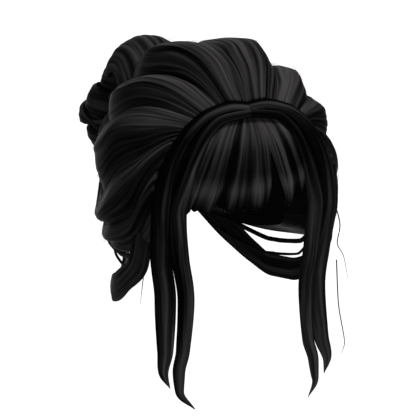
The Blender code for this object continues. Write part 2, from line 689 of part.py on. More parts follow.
def bun_cap():
    """Broad lobe of hair that runs from the crown over the top of the bun."""
    centre = Vector((CAP_SHIFT, -CAP_FORWARD, CAP_LIFT))
    outer, inner = [], []
    for k in range(CAP_STEPS + 1):
        along = CAP_START + (CAP_END - CAP_START) * k / CAP_STEPS
        front, rear = [], []
        for j in range(CAP_LANES + 1):
            turn = CAP_SPREAD * (2 * j / CAP_LANES - 1)
            for row, cut in ((front, 0), (rear, COIL_WALL)):
                side = (CAP_HALF_WIDTH - cut) * math.sin(turn)
                deep = (CAP_HALF_DEPTH - cut) * math.cos(turn)
                high = (CAP_RISE - cut) * math.cos(turn)
                row.append(bun_frame(centre + Vector((side, -deep * math.cos(along),
                                                      high * math.sin(along)))))
        outer.append(front)
        inner.append(rear)
    faces = quads(outer[0], inner[0]) + quads(outer[-1], inner[-1])
    for grid in (outer, inner):
        for one, two in zip(grid, grid[1:]):
            faces += quads(one, two)
    for end in (0, -1):
        faces += quads([row[end] for row in outer], [row[end] for row in inner])
    return solid("bun_cap", faces)


def start_scene():
    """Empty scene with one collection for the part and one for what cuts it."""
    for thing in list(bpy.data.objects):
        bpy.data.objects.remove(thing)
    for name in ("bun_hairpiece", "bun_hairpiece_cutters"):
        bpy.context.scene.collection.children.link(bpy.data.collections.new(name))


def main():
    """Build every piece, each cut back to its clearance from those before it."""
    start_scene()
    shell = crown()
    core = bun_core()
    trim(core, shell)
    bun = [core]
    for piece in [bun_coil(coil) for coil in COILS] + [bun_cap()]:
        trim(piece, shell, *bun)
        bun.append(piece)
    outer_locks, inner_locks = [], []
    for word, side in (("left", 1), ("right", -1)):
        outer = face_lock("outer_lock_" + word, OUTER_LOCK, side, OUTER_LOCK_REACH,
                          OUTER_LOCK_LENGTH, OUTER_LOCK_WIDTH, OUTER_LOCK_DEPTH, 0)
        trim(outer, shell)
        outer_locks.append(outer)
        inner = face_lock("inner_lock_" + word, INNER_LOCK, side, INNER_LOCK_REACH,
                          INNER_LOCK_LENGTH, INNER_LOCK_WIDTH, INNER_LOCK_DEPTH,
                          INNER_LOCK_STEP)
        trim(inner, shell, outer)
        inner_locks.append(inner)
    fan = fringe()
    trim(fan, shell, *outer_locks, *inner_locks)
    for word, side, table in (("left", 1, BAND_LEFT), ("right", -1, BAND_RIGHT)):
        band = nape_band("nape_band_" + word, table, side)
        trim(band, shell, *bun)
        strand = nape_strand("nape_strand_" + word, STRAND, side, STRAND_DIAMETER)
        trim(strand, shell, band, *bun)
        fine = nape_strand("nape_fine_strand_" + word, FINE_STRAND, side,
                           FINE_STRAND_DIAMETER)
        trim(fine, shell, band, strand, *bun)


main()
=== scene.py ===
"""Looks of the bun hairpiece: every solid is dressed in a surface of fine strands, with loose
hairs, a wig cap inside, procedural hair materials, a pale floor, lights and a camera.

Metres, in the frame of the solids: +Z up, the face looks along -Y, +X is the wearer's left,
and the origin is where the top of the head touches the inside of the crown.
"""

import math
from collections import namedtuple

import bpy
import numpy as np
from bpy.props import (BoolProperty, FloatProperty, FloatVectorProperty, IntProperty,
                       PointerProperty)
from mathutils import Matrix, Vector


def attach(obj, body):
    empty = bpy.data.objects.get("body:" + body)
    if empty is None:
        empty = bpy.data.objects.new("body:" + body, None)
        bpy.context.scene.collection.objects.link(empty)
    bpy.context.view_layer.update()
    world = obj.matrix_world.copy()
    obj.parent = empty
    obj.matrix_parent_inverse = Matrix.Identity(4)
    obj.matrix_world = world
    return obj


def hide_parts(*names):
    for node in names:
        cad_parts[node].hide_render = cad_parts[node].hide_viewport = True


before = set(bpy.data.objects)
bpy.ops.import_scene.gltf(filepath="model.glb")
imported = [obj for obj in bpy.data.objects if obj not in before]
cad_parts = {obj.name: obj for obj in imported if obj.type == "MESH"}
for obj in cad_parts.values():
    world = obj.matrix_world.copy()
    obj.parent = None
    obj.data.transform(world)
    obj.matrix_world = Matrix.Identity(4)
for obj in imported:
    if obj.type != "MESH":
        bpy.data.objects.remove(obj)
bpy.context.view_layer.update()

bl_info = {
    "name": "Bun Hairpiece Looks",
    "version": (1, 0, 0),
    "blender": (4, 5, 0),
    "location": "3D View > Sidebar > Bun Hairpiece",
    "description": "Dresses the solids of the bun hairpiece in strands of hair",
    "category": "Object",
}

MM = 0.001
BODY = "root"

# The head that the wig fits, and the point that its lining is measured from
HEAD = np.array((80, 98, 100)) * MM
AIM_DROP = 108 * MM

# The crown
FRONT_REACH = 99 * MM
FRONT_RAKE = 6 * MM
FRONT_BAND = 12 * MM
CROWN_LENGTH = 205 * MM
CROWN_HALF_WIDTH = 114 * MM
CROWN_RISE = 47 * MM
CROWN_DROP = 150 * MM
PLEAT_DEPTH = 14 * MM
PARTING_DIP = 3.5 * MM
PLEAT_FULLNESS = 0.12

# The face locks
OUTER_LOCK_REACH = 90 * MM
OUTER_LOCK_LENGTH = 262 * MM
OUTER_LOCK_WIDTH = 22 * MM
OUTER_LOCK_DEPTH = 7.5 * MM
INNER_LOCK_REACH = 74 * MM
INNER_LOCK_LENGTH = 278 * MM
INNER_LOCK_WIDTH = 17 * MM
INNER_LOCK_DEPTH = 8 * MM
INNER_LOCK_STEP = 4.5 * MM
LOCK_TOP = 5.5 * MM

# The fringe
FRINGE_REACH = 68 * MM
FRINGE_TOP = 7 * MM
FRINGE_DROP = 98 * MM
FRINGE_SWELL = 10 * MM
FRINGE_ROUND = 11 * MM
FRINGE_WALL = 3.5 * MM
FRINGE_RIDGE = 3 * MM
FRINGE_SPLIT = 0.44
FRINGE_BOW_MIDDLE = 0.75
FRINGE_BOW_SIDE = 0.40
FRINGE_ROOT = 0.06
# Its lower edge is frayed: by how many cells of grain a side, how deep and how far out
FRAY_CELLS = 34
FRAY_DEPTH = 0.012
FRAY_END = 0.97
# How far from the split the columns are drawn together above it
SPLIT_REACH = 0.12

# The bands and strands round the nape
NAPE_REACH = 102 * MM
NAPE_DEPTH = 124 * MM
NAPE_DROP = 187 * MM
BAND_WIDTH = 22 * MM
BAND_THICKNESS = 4.5 * MM
BAND_CENTRE_BACK = 10 * MM
STRAND_DIAMETER = 4.6 * MM
FINE_STRAND_DIAMETER = 2.8 * MM
# Over which share of its length a band grows from its front end and a strand from both,
# and from which share of its full width, squared
BAND_TAPER = 0.05
BAND_LEAST = 0.15
STRAND_TAPER = 0.06
STRAND_LEAST = 0.12
# A strand's hairs are twisted round its middle one: how many there are, in a fine strand
# too, how often they turn, how far out they lie and how thick they are
STRAND_HAIRS = 9
FINE_STRAND_HAIRS = 5
STRAND_TURNS = 0.9
STRAND_SPREAD = 0.30
STRAND_HAIR = 0.42

# The bun
BUN_BACK = 143 * MM
BUN_MIDDLE = 24 * MM
BUN_RADIUS = 48 * MM
BUN_CORE = np.array((31, 31, 44)) * MM
BUN_TILT = math.radians(8)
COIL_HEIGHT = 30 * MM
COIL_WALL = 5.5 * MM
COIL_END = 0.55
# How far a coil's hair runs on past each end of its solid, in degrees, and how far in it tucks
COIL_OVERLAP = 24
COIL_TUCK = 5 * MM
# Over which share of its length a coil tucks in, how sharply, and how much narrower and
# thinner it is at its end
TUCK_SHARE = 0.16
TUCK_EASING = 1.5
TUCK_NARROW = 0.80
TUCK_THIN = 0.5
# How far the core's hair lies inside its solid, under the coils
CORE_SLACK = 2 * MM
# How near to its poles the core's hair closes
CORE_CLOSED = 0.999
# The gathered hair that runs from the crown into the bun: its ends, half sizes and waist
GATHER_FRONT = 92 * MM
GATHER_BACK = 138 * MM
GATHER_MIDDLE = 24 * MM
GATHER_HALF_WIDTH = 24 * MM
GATHER_HALF_HEIGHT = 33 * MM
GATHER_WAIST = 0.15
GATHER_GRID = (40, 120)
# The lobe over the top of the bun
CAP_HALF = np.array((42, 44, 45)) * MM
CAP_PLACE = np.array((7, -25, 18)) * MM
CAP_ARC = math.radians(165)
CAP_SPREAD = math.radians(75)

# Clearance that the solids keep from each other
GAP = 0.35 * MM

Section = namedtuple("Section", "share top_back low_back half_width top middle low"
                                " wrap box pleat parting")
CROWN = [Section(*row) for row in (
    (0.00, 0.000, 0.024, 0.860, 0.06, 0.580, 0.813, 112, 1.00, 0.15, 1.0),
    (0.12, 0.102, 0.122, 0.970, 0.63, 0.550, 0.920, 118, 0.92, 0.70, 0.4),
    (0.32, 0.312, 0.335, 0.990, 0.92, 0.585, 0.970, 122, 0.87, 1.00, 0.0),
    (0.52, 0.532, 0.540, 0.905, 0.84, 0.660, 0.975, 127, 0.87, 0.95, 0.0),
    (0.70, 0.741, 0.751, 0.700, 0.40, 0.620, 0.915, 138, 0.87, 0.85, 0.0),
    (0.84, 0.868, 0.951, 0.500, 0.16, 0.380, 0.787, 160, 0.90, 0.60, 0.0),
    (0.92, 0.922, 1.010, 0.420, 0.04, 0.307, 0.707, 180, 0.95, 0.45, 0.0),
    (1.00, 0.941, 1.054, 0.316, -0.05, 0.227, 0.460, 180, 1.00, 0.30, 0.0),
)]

Pleat = namedtuple("Pleat", "hairline crest flank gather height")
PLEAT_PLACES = (0.00, 0.12, 0.52, 0.92)
PLEATS = [Pleat(*row) for row in (
    (0.000, 0.000, 0.000, 0.000, 0.10),
    (0.104, 0.120, 0.160, 0.115, 0.70),
    (0.164, 0.198, 0.262, 0.205, -0.65),
    (0.248, 0.300, 0.380, 0.295, 0.35),
    (0.313, 0.385, 0.470, 0.378, -0.50),
    (0.383, 0.496, 0.578, 0.467, 0.35),
    (0.434, 0.615, 0.705, 0.570, -0.75),
    (0.494, 0.740, 0.805, 0.665, 0.22),
    (0.589, 0.825, 0.868, 0.755, -0.45),
    (0.714, 0.900, 0.928, 0.848, 0.33),
    (0.857, 0.953, 0.965, 0.922, -0.15),
    (1.000, 1.000, 1.000, 1.000, 0.10),
)]
# The pleat line, a valley, where the middle of the crown ends and its sides begin
MIDDLE_LINE = 2
# How much lighter the crown is painted at some pleat lines, counted from the parting down:
# painted light on the upper folds, painted shade lower down
FOLD_LINES = (0, 1, 2, 4, 6, 11)
FOLD_LIGHT = (0.0, 0.0, 0.45, 0.45, -0.20, 0.10)

LockRow = namedtuple("LockRow", "share side drop wide thick back")
OUTER_LOCK = [LockRow(*row) for row in (
    (0.00, 0.000, 0.000, 0.36, 0.85, 0.00),
    (0.07, 0.190, -0.007, 0.42, 0.90, 0.00),
    (0.17, 0.460, 0.016, 0.46, 0.95, 0.00),
    (0.25, 0.645, 0.060, 0.50, 1.00, 0.00),
    (0.33, 0.800, 0.125, 0.59, 1.00, 0.00),
    (0.41, 0.911, 0.202, 0.68, 1.00, 0.00),
    (0.49, 0.972, 0.286, 0.82, 1.00, 0.00),
    (0.57, 0.995, 0.370, 0.92, 1.00, 0.00),
    (0.69, 0.950, 0.542, 0.94, 1.00, -0.90),
    (0.80, 0.892, 0.690, 0.97, 1.00, -1.05),
    (0.91, 0.930, 0.870, 0.72, 0.85, -0.35),
    (0.96, 0.975, 0.943, 0.46, 0.60, 0.12),
    (1.00, 0.920, 1.000, 0.03, 0.06, 0.50),
)]
INNER_LOCK = [LockRow(*row) for row in (
    (0.00, 0.000, 0.020, 0.44, 0.80, 0.00),
    (0.10, 0.390, 0.036, 0.50, 0.85, 0.00),
    (0.18, 0.610, 0.085, 0.66, 0.95, 0.00),
    (0.24, 0.735, 0.137, 0.76, 1.00, 0.00),
    (0.31, 0.860, 0.205, 0.85, 1.00, 0.00),
    (0.38, 0.930, 0.268, 1.02, 1.00, 0.00),
    (0.46, 1.000, 0.350, 1.06, 1.00, -0.10),
    (0.62, 0.946, 0.503, 1.00, 1.00, -0.23),
    (0.75, 0.865, 0.650, 0.96, 1.00, -0.23),
    (0.86, 0.905, 0.822, 0.77, 0.90, -0.35),
    (0.91, 0.972, 0.893, 0.68, 0.80, -0.20),
    (0.95, 0.980, 0.957, 0.47, 0.60, 0.05),
    (1.00, 0.820, 1.015, 0.03, 0.06, 0.90),
)]
LOCK_OUTLINE = ((-0.50, -0.50), (-0.50, -0.15), (-0.15, 0.50), (0.30, 0.32), (0.50, 0.00),
                (0.46, -0.50))
# The flatter outline of a lock's hair where it arches over the brow, and where that ends
ARCH_OUTLINE = ((-0.50, -0.50), (-0.50, -0.10), (-0.28, 0.38), (0.30, 0.50), (0.50, 0.20),
                (0.46, -0.50))
ARCH_END = 0.30
# That outline goes over into the lock's so many times as fast as the arch runs out
ARCH_FADE = 1.5
# How much lighter a lock's front face and its flank are painted in the arch: painted light on
# the outer lock's front, painted shade on the inner lock's front and painted light on its flank
ARCH_LIGHT = {"outer_lock_": (1.40, 0.0), "inner_lock_": (-1.30, 2.00)}

Clump = namedtuple("Clump", "left ridge right tip notch stand split")
CLUMPS = [Clump(*row) for row in (
    (-1.000, -0.920, -0.850, 0.990, 0.935, 0.8, False),
    (-0.850, -0.810, -0.765, 0.970, 0.960, 0.3, False),
    (-0.765, -0.650, -0.515, 1.000, 0.930, 1.0, False),
    (-0.515, -0.300, -0.135, 1.000, 0.985, 0.9, False),
    (-0.135, -0.065, -0.010, 0.995, 0.975, 0.4, False),
    (-0.010, 0.120, 0.215, 0.985, 0.960, 1.0, False),
    (0.215, 0.265, 0.310, 0.960, 0.930, 0.5, True),
    (0.590, 0.680, 0.765, 0.985, 0.900, 0.9, False),
    (0.765, 0.860, 1.000, 0.905, 0.860, 0.7, False),
)]
# Rows down the fringe: how far forward it stands, how much its clumps show, how thick it is,
# and the painted light and shade there: highlights near the top and on the curl, shade between
# and at the lower edge
FringeRow = namedtuple("FringeRow", "share swell ridge wall light")
FRINGE_ROWS = [FringeRow(*row) for row in (
    (0.00, 0.00, 0.00, 1.1, 0.00),
    (0.08, 0.20, 0.15, 1.0, 0.70),
    (0.20, 0.55, 0.45, 1.0, 0.85),
    (0.45, 0.95, 0.80, 1.0, -0.15),
    (0.62, 0.99, 0.92, 1.0, -0.50),
    (0.80, 1.00, 1.00, 1.0, 0.60),
    (0.92, 0.85, 1.00, 0.9, -0.30),
    (1.00, 0.62, 0.85, 0.5, -1.15),
)]

Route = namedtuple("Route", "share side back drop wide")
BAND_LEFT = [Route(*row) for row in (
    (0.00, 0.950, -0.660, 0.540, 0.75),
    (0.12, 1.000, -0.610, 0.775, 0.95),
    (0.24, 0.970, -0.390, 0.898, 1.00),
    (0.36, 0.905, -0.170, 0.963, 1.00),
    (0.47, 0.823, 0.040, 0.960, 1.00),
    (0.57, 0.745, 0.242, 0.905, 1.00),
    (0.67, 0.647, 0.480, 0.808, 1.00),
    (0.77, 0.539, 0.670, 0.700, 0.95),
    (0.89, 0.373, 0.850, 0.567, 0.85),
    (1.00, 0.190, 0.950, 0.455, 0.70),
)]
BAND_RIGHT = [Route(*row) for row in (
    (0.00, 0.950, -0.660, 0.540, 0.75),
    (0.12, 1.000, -0.600, 0.800, 0.95),
    (0.24, 1.005, -0.390, 0.905, 1.00),
    (0.38, 0.940, -0.085, 0.990, 1.10),
    (0.50, 0.735, 0.160, 0.990, 1.00),
    (0.62, 0.490, 0.430, 0.920, 1.00),
    (0.74, 0.350, 0.680, 0.800, 0.95),
    (0.88, 0.230, 0.840, 0.640, 0.85),
    (1.00, 0.120, 0.950, 0.475, 0.70),
)]
STRAND = [Route(*row) for row in (
    (0.00, 0.880, -0.500, 0.732, 1.0),
    (0.14, 0.880, -0.320, 0.802, 1.0),
    (0.34, 0.824, -0.040, 0.822, 1.0),
    (0.46, 0.794, 0.040, 0.822, 1.0),
    (0.58, 0.740, 0.282, 0.798, 1.0),
    (0.70, 0.637, 0.480, 0.749, 1.0),
    (0.82, 0.490, 0.690, 0.647, 1.0),
    (0.92, 0.294, 0.850, 0.531, 1.0),
    (1.00, 0.120, 0.960, 0.446, 1.0),
)]
FINE_STRAND = [Route(*row) for row in (
    (0.00, 0.850, -0.500, 0.792, 1.0),
    (0.14, 0.855, -0.320, 0.868, 1.0),
    (0.34, 0.795, -0.040, 0.890, 1.0),
    (0.46, 0.755, 0.040, 0.890, 1.0),
    (0.58, 0.680, 0.282, 0.864, 1.0),
    (0.70, 0.580, 0.480, 0.812, 1.0),
    (0.82, 0.435, 0.690, 0.712, 1.0),
    (0.92, 0.245, 0.860, 0.600, 1.0),
    (1.00, 0.090, 0.960, 0.450, 1.0),
)]
BAND_OUTLINE = ((-0.50, -0.30), (-0.50, 0.10), (-0.20, 0.50), (0.20, 0.50), (0.50, 0.10),
                (0.50, -0.30), (0.00, -0.50))

Coil = namedtuple("Coil", "name level reach height lean shift start sweep grow")
COILS = [Coil(*row) for row in (
    ("bun_coil_upper", 0.24, 0.58, 0.95, -16, 0.02, 150, 300, 0.10),
    ("bun_coil_middle", -0.12, 0.79, 1.00, -16, 0.00, 100, 325, 0.10),
    ("bun_coil_lower", -0.55, 0.94, 0.85, 4, 0.02, 200, 325, 0.06),
    ("bun_coil_base", -0.93, 0.69, 0.85, 24, -0.02, 60, 325, 0.06),
)]
COIL_OUTLINE = ((-0.50, -0.40), (-0.36, 0.38), (0.00, 0.60), (0.36, 0.38), (0.50, -0.20),
                (0.00, -0.60))

# The wisps beside the locks, each a row of points that it runs through, and how much thinner
# a wisp is at its end
WISPS = (
    ((-0.094, -0.088, -0.120), (-0.099, -0.080, -0.160), (-0.102, -0.078, -0.190)),
    ((-0.093, -0.103, -0.150), (-0.092, -0.104, -0.200), (-0.090, -0.104, -0.235)),
    ((0.072, -0.108, -0.150), (0.066, -0.110, -0.200), (0.068, -0.108, -0.212)),
    ((0.104, -0.085, -0.110), (0.110, -0.083, -0.130), (0.106, -0.085, -0.146),
     (0.114, -0.083, -0.160), (0.121, -0.080, -0.185)),
    ((0.098, -0.098, -0.160), (0.100, -0.098, -0.200), (0.107, -0.098, -0.240),
     (0.103, -0.098, -0.252)),
)
WISP_THINNING = 0.8
# The flyaways: where along the crown they start, how far they run and where they end at most,
# up to which pleat line, how far they lift off and how far out their roots lie
FLYAWAY_SEED = 5
FLYAWAY_START = (0.02, 0.75)
FLYAWAY_RUN = (0.12, 0.3)
FLYAWAY_END = 0.98
FLYAWAY_LINE = 10.5
FLYAWAY_LIFT = (0.6 * MM, 3.0 * MM)
FLYAWAY_ROOT = 0.3 * MM

# How finely the surfaces are divided: rows along the hair and columns across it
CROWN_ROWS = 104
CROWN_MIDDLE_COLUMNS = 300
CROWN_SIDE_COLUMNS = 480
RIM_COLUMNS = 14
FRONT_ROWS = 8
END_ROWS = 12
END_POINTS = 60
LINING_GRID = (120, 150)
LINING_EDGE_ROWS = 6
LOCK_GRID = (150, 110)
FRINGE_GRID = (84, 300)
BAND_GRID = (110, 80)
COIL_GRID = (150, 84)
CAP_GRID = (70, 180)
CORE_GRID = (60, 120)
STRAND_GRID = (90, 6)
WISP_GRID = (40, 5)
FLYAWAY_GRID = (14, 3)
# The part of the fringe's columns that each of its two lobes gets
LOBE_COLUMNS = (0.8, 0.4)
# The fringe's back keeps one row in so many, and the inside of the bun's lobe one column
FRINGE_BACK_STEP = 3
CAP_BACK_STEP = 4
# The powers that set the crown's rows closer at the hairline and a lock's closer at its tip
CROWN_PACKING = 1.15
LOCK_PACKING = 0.9
# How often the crown's rows are evened out along the hair
CROWN_EASING = 30

SIDES = (("left", 1), ("right", -1))

# A table of seeded random values that every grain of the hair is read from, and how many of
# its rows and columns lie between one lane and the next
GRAIN = np.random.default_rng(11).uniform(-1, 1, (512, 128))
LANE_STEP = (61, 23)
# The first lane that each surface reads
LANES = {
    "crown_middle": 40, "crown_side_left": 50, "crown_side_right": 60,
    "fringe_right": 70, "fringe_left": 74,
    "outer_lock_left_hair": 81, "outer_lock_right_hair": 79,
    "inner_lock_left_hair": 91, "inner_lock_right_hair": 89,
    "nape_band_left_hair": 111, "nape_band_right_hair": 109,
    "gathered_hair": 120, "bun_core_hair": 125, "bun_coil_upper_hair": 130,
    "bun_coil_middle_hair": 135, "bun_coil_lower_hair": 140, "bun_coil_base_hair": 145,
    "bun_cap_hair": 160,
}
FRAY_LANE = 70
# The layers of the grain, from clumps down to single hairs: whose pitch and relief a layer
# goes by, its width in pitches, its length, and its share of the relief and of the lightness
Layer = namedtuple("Layer", "kind width length relief light")
LAYERS = [Layer(*row) for row in (
    ("clump", 1.00, 110 * MM, 0.65, 0.35),
    ("clump", 0.42, 80 * MM, 0.35, 0.55),
    ("strand", 1.00, 70 * MM, 0.65, 0.75),
    ("strand", 0.50, 45 * MM, 0.35, 0.50),
)]
# One swing of the strands to the side: its width in sways, and its length
SWAY_WIDTH = 9
SWAY_LENGTH = 30 * MM
# How much of the grain's relief the locks and the bands have
LOCK_RELIEF = 0.9
BAND_RELIEF = 0.8

# Lightness added to the hair, most of it painted light and shade. The crown: painted light on
# the pleat faces that look up and painted shade on those that look down, painted light on the
# middle one, painted shade on the front band and on surfaces that turn in out of the light, and
# how much less of it is at the bun
LIT_FACE = 0.45
SHADED_FACE = -0.40
PARTING_LIGHT = 0.55
FRONT_SHADE = -0.50
HIDDEN_SHADE = -4.0
CROWN_FADE = 0.25
# The locks: all over, painted shade on the flank and painted light at the tip, where the flank
# begins in the outline and over what it comes in, and where the tip begins
LOCK_LIGHT = -0.20
FLANK_SHADE = -1.10
TIP_LIGHT = 1.00
FLANK_EDGE = -0.20
FLANK_BLEND = 0.2
TIP_START = 0.7
# The fringe: how much lighter a clump's ridge is painted than its shaded sides, for what height
# of clump it is nought, how much of it the top rows still have, and the painted shade on the
# lower edge
CLUMP_CONTRAST = 1.3
CLUMP_EVEN = 0.45
CLUMP_LEAST = 0.7
EDGE_SHADE = -2.0
# The bands, painted shade on the gathered hair under the lobe and on the core under the coils,
# painted light on the lobe over the top, how much lighter a coil's upper edge is painted than
# its lower one, and how much thin hairs differ from one another, by which column of the random
# table
BAND_LIGHT = 0.1
GATHER_SHADE = -0.30
CORE_SHADE = -0.35
CAP_LIGHT = 0.5
COIL_LIGHT = 0.10
COIL_CONTRAST = 0.90
TUBE_CONTRAST = 0.2
TUBE_COLUMN = 5
# A direction that no thin hair runs along, from which the corners of its rings are set out
TUBE_SIDE = np.array((0.31, 0.17, 0.93))

# The hair's material: cells of its fine noise in a metre across and along the strands, how much
# of the noise is added to the lightness and less what, the lightness, grain with painted light
# and shade, where the tones begin and end, and how far the shine is drawn out
FINE_HAIRS = (2200, 26, 1)
FINE_GAIN = 1.3
FINE_SHIFT = -0.65
SHADE_AND_GRAIN_RANGE = (-1.4, 2.4)
SHINE_STRETCH = 0.6
# Tones from dark to light of the grain's streaks and the painted light and shade: place in that
# range, and how many times the hair's colour. The ones lighter than the hair are this much
# redder
SHADE_AND_GRAIN_TONES = ((0.00, 0.10), (0.16, 0.25), (0.37, 0.90), (0.58, 2.80), (1.00, 7.00))
STREAK_WARMTH = 1.04
# The wig cap's net: meshes in a metre, and its threads and gaps against the cap's colour
NET_MESHES = (620, 620, 1)
NET_TONES = ((0.0, 1.6), (1.0, 0.6))
# The floor's paper against the floor's colour
PAPER_TONES = ((0.0, 0.985), (1.0, 1.0))

# The lamps: name, where it shines from, strength, and how wide it looks in degrees
LAMPS = (("key", (0.18, -0.50, 0.85), 6.4, 18), ("back", (0.30, 0.85, 0.45), 0.35, 40))
# Strength of the sky with the soft light on and off
SKY_SOFT = 0.14
SKY_HARD = 0.05
# The point that the camera looks at, its sensor's width in millimetres and how far it sees
TARGET = (0, -26 * MM, -115 * MM)
SENSOR_WIDTH = 36
VIEW_END = 300


# Settings

class HairSettings(bpy.types.PropertyGroup):
    """Colour, gloss and grain of the hair."""
    colour: FloatVectorProperty(
        name="Colour", description="Colour of the hair", subtype="COLOR", size=3,
        min=0, max=1, default=(0.0050, 0.0049, 0.0050))
    roughness: FloatProperty(
        name="Roughness", description="How wide the shine on the hair spreads",
        subtype="FACTOR", min=0, max=1, default=0.42)
    gloss: FloatProperty(
        name="Gloss", description="How strong the shine on the hair is",
        subtype="FACTOR", min=0, max=1, default=0.003)
    strand_pitch: FloatProperty(
        name="Strand pitch", description="Distance from one strand to the next",
        subtype="DISTANCE", min=0.0005, max=0.01, default=2.6 * MM)
    clump_pitch: FloatProperty(
        name="Clump pitch", description="Distance from one clump of strands to the next",
        subtype="DISTANCE", min=0.002, max=0.05, default=7.5 * MM)
    strand_relief: FloatProperty(
        name="Strand relief", description="How far a strand stands out or in",
        subtype="DISTANCE", min=0, max=0.002, default=0.42 * MM)
    clump_relief: FloatProperty(
        name="Clump relief", description="How far a clump stands out or in",
        subtype="DISTANCE", min=0, max=0.003, default=0.70 * MM)
    sway: FloatProperty(
        name="Sway", description="How far the strands wander to the side",
        subtype="DISTANCE", min=0, max=0.01, default=1.6 * MM)


class CapSettings(bpy.types.PropertyGroup):
    """The wig cap that lines the crown."""
    colour: FloatVectorProperty(
        name="Cap colour", description="Colour of the stretch cap", subtype="COLOR", size=3,
        min=0, max=1, default=(0.0030, 0.0029, 0.0030))
    weft_pitch: FloatProperty(
        name="Weft pitch", description="Distance from one sewn weft to the next",
        subtype="DISTANCE", min=0.003, max=0.05, default=8 * MM)
    weft_relief: FloatProperty(
        name="Weft relief", description="How far a weft stands out of the cap",
        subtype="DISTANCE", min=0, max=0.003, default=0.5 * MM)


class LooseHairSettings(bpy.types.PropertyGroup):
    """Single hairs that have come loose."""
    diameter: FloatProperty(
        name="Wisp diameter", description="Thickness of a loose wisp",
        subtype="DISTANCE", min=0.0002, max=0.003, default=1.3 * MM)
    flyaways: IntProperty(
        name="Flyaways", description="How many short hairs stand off the crown",
        min=0, max=2000, default=150)
    flyaway_diameter: FloatProperty(
        name="Flyaway diameter", description="Thickness of a short loose hair",
        subtype="DISTANCE", min=0.0001, max=0.001, default=0.32 * MM)


class StageSettings(bpy.types.PropertyGroup):
    """Floor, lights and camera."""
    floor_drop: FloatProperty(
        name="Floor", description="Depth of the floor below the top of the head",
        subtype="DISTANCE", min=0.3, max=3, default=0.62)
    floor_half: FloatProperty(
        name="Floor half width", description="From the middle of the floor to its edge",
        subtype="DISTANCE", min=5, max=200, default=60)
    floor_colour: FloatVectorProperty(
        name="Floor colour", description="Colour of the floor", subtype="COLOR", size=3,
        min=0, max=1, default=(0.60, 0.60, 0.60))
    azimuth: FloatProperty(
        name="Camera azimuth", description="Turn of the camera round the wig",
        subtype="ANGLE", default=math.radians(-28))
    elevation: FloatProperty(
        name="Camera elevation", description="Height of the camera above the horizon",
        subtype="ANGLE", default=math.radians(9.5))
    distance: FloatProperty(
        name="Camera distance", description="From the camera to the middle of the picture",
        subtype="DISTANCE", min=1, max=20, default=6.0)
    picture_width: FloatProperty(
        name="Picture width", description="Width of the picture at the wig",
        subtype="DISTANCE", min=0.1, max=5, default=0.4)
    soft_light: BoolProperty(
        name="Soft light", description="Light the floor and the wig from the whole sky",
        default=True)


# Numbers and places

def eased(stops, values, at):
    """Values at places of a quantity given at rising stops, smooth and never overshooting."""
    stops = np.asarray(stops, float)
    values = np.asarray(values, float)
    at = np.clip(np.asarray(at, float), stops[0], stops[-1])
    spans = np.diff(stops).reshape((-1,) + (1,) * (values.ndim - 1))
    rises = np.diff(values, axis=0) / spans
    both = rises[:-1] * rises[1:]
    total = rises[:-1] + rises[1:]
    inner = np.where(both > 0, 2 * both / np.where(total == 0, 1, total), 0)
    slopes = np.concatenate((rises[:1], inner, rises[-1:]))
    k = np.clip(np.searchsorted(stops, at, side="right") - 1, 0, len(stops) - 2)
    span = spans[k]
    t = ((at - stops[k]) / np.diff(stops)[k]).reshape((-1,) + (1,) * (values.ndim - 1))
    return ((1 + 2 * t) * (1 - t) ** 2 * values[k] + t * (1 - t) ** 2 * span * slopes[k]
            + t * t * (3 - 2 * t) * values[k + 1] + t * t * (t - 1) * span * slopes[k + 1])


def between(rows, shares):
    """Rows of a table at shares along it: one array for every column."""
    stops = [row.share for row in rows]
    return type(rows[0])(*(eased(stops, column, shares) for column in zip(*rows)))


def grain(across, along, lane):
    """Smooth random values from -1 to 1 over cells across and along the hair."""
    across, along = np.broadcast_arrays(across, along)
    i, j = np.floor(across).astype(int), np.floor(along).astype(int)
    f, g = across - i, along - j
    f, g = f * f * (3 - 2 * f), g * g * (3 - 2 * g)
    rows, columns = GRAIN.shape
    i, j = i + LANE_STEP[0] * lane, j + LANE_STEP[1] * lane

    def cell(a, b):
        return GRAIN[a % rows, b % columns]

    near = cell(i, j) * (1 - f) + cell(i + 1, j) * f
    far = cell(i, j + 1) * (1 - f) + cell(i + 1, j + 1) * f
    return near * (1 - g) + far * g


def weave(across, along, lane):
    """Relief in metres and lightness from -1 to 1 of the hair at places in metres."""
    hair = bpy.context.scene.bun_hair
    across = across + hair.sway * grain(across / (SWAY_WIDTH * hair.sway),
                                        along / SWAY_LENGTH, lane)
    relief, light = 0, 0
    for k, layer in enumerate(LAYERS):
        pitch = layer.width * getattr(hair, layer.kind + "_pitch")
        value = grain(across / pitch, along / layer.length, lane + 1 + k)
        relief = relief + layer.relief * getattr(hair, layer.kind + "_relief") * value
        light = light + layer.light * value
    return relief, light


def unit(vectors):
    """Vectors of length one."""
    return vectors / np.maximum(np.linalg.norm(vectors, axis=-1, keepdims=True), 1e-12)


def outward(points, closed):
    """Normals of a grid of points, from the run along the hair and across it."""
    along = np.gradient(points, axis=0)
    if closed:
        across = np.roll(points, -1, axis=1) - np.roll(points, 1, axis=1)
    else:
        across = np.gradient(points, axis=1)
    return unit(np.cross(along, across))


def smoothed(points, passes):
    """A grid of points with its rows evened out along the hair, its first and last kept."""
    points = points.copy()
    for _ in range(passes):
        points[1:-1] = (points[:-2] + 2 * points[1:-1] + points[2:]) / 4
    return points


def blend(start, end, rows):
    """Rows that go evenly from one row of points to another."""
    steps = np.linspace(0, 1, rows)[:, None, None]
    return start * (1 - steps) + end * steps


def lengths(points, axis):
    """Distance run along one axis of a grid of points, averaged over the other."""
    steps = np.linalg.norm(np.diff(points, axis=axis), axis=-1).mean(axis=1 - axis)
    return np.concatenate(([0.0], np.cumsum(steps)))


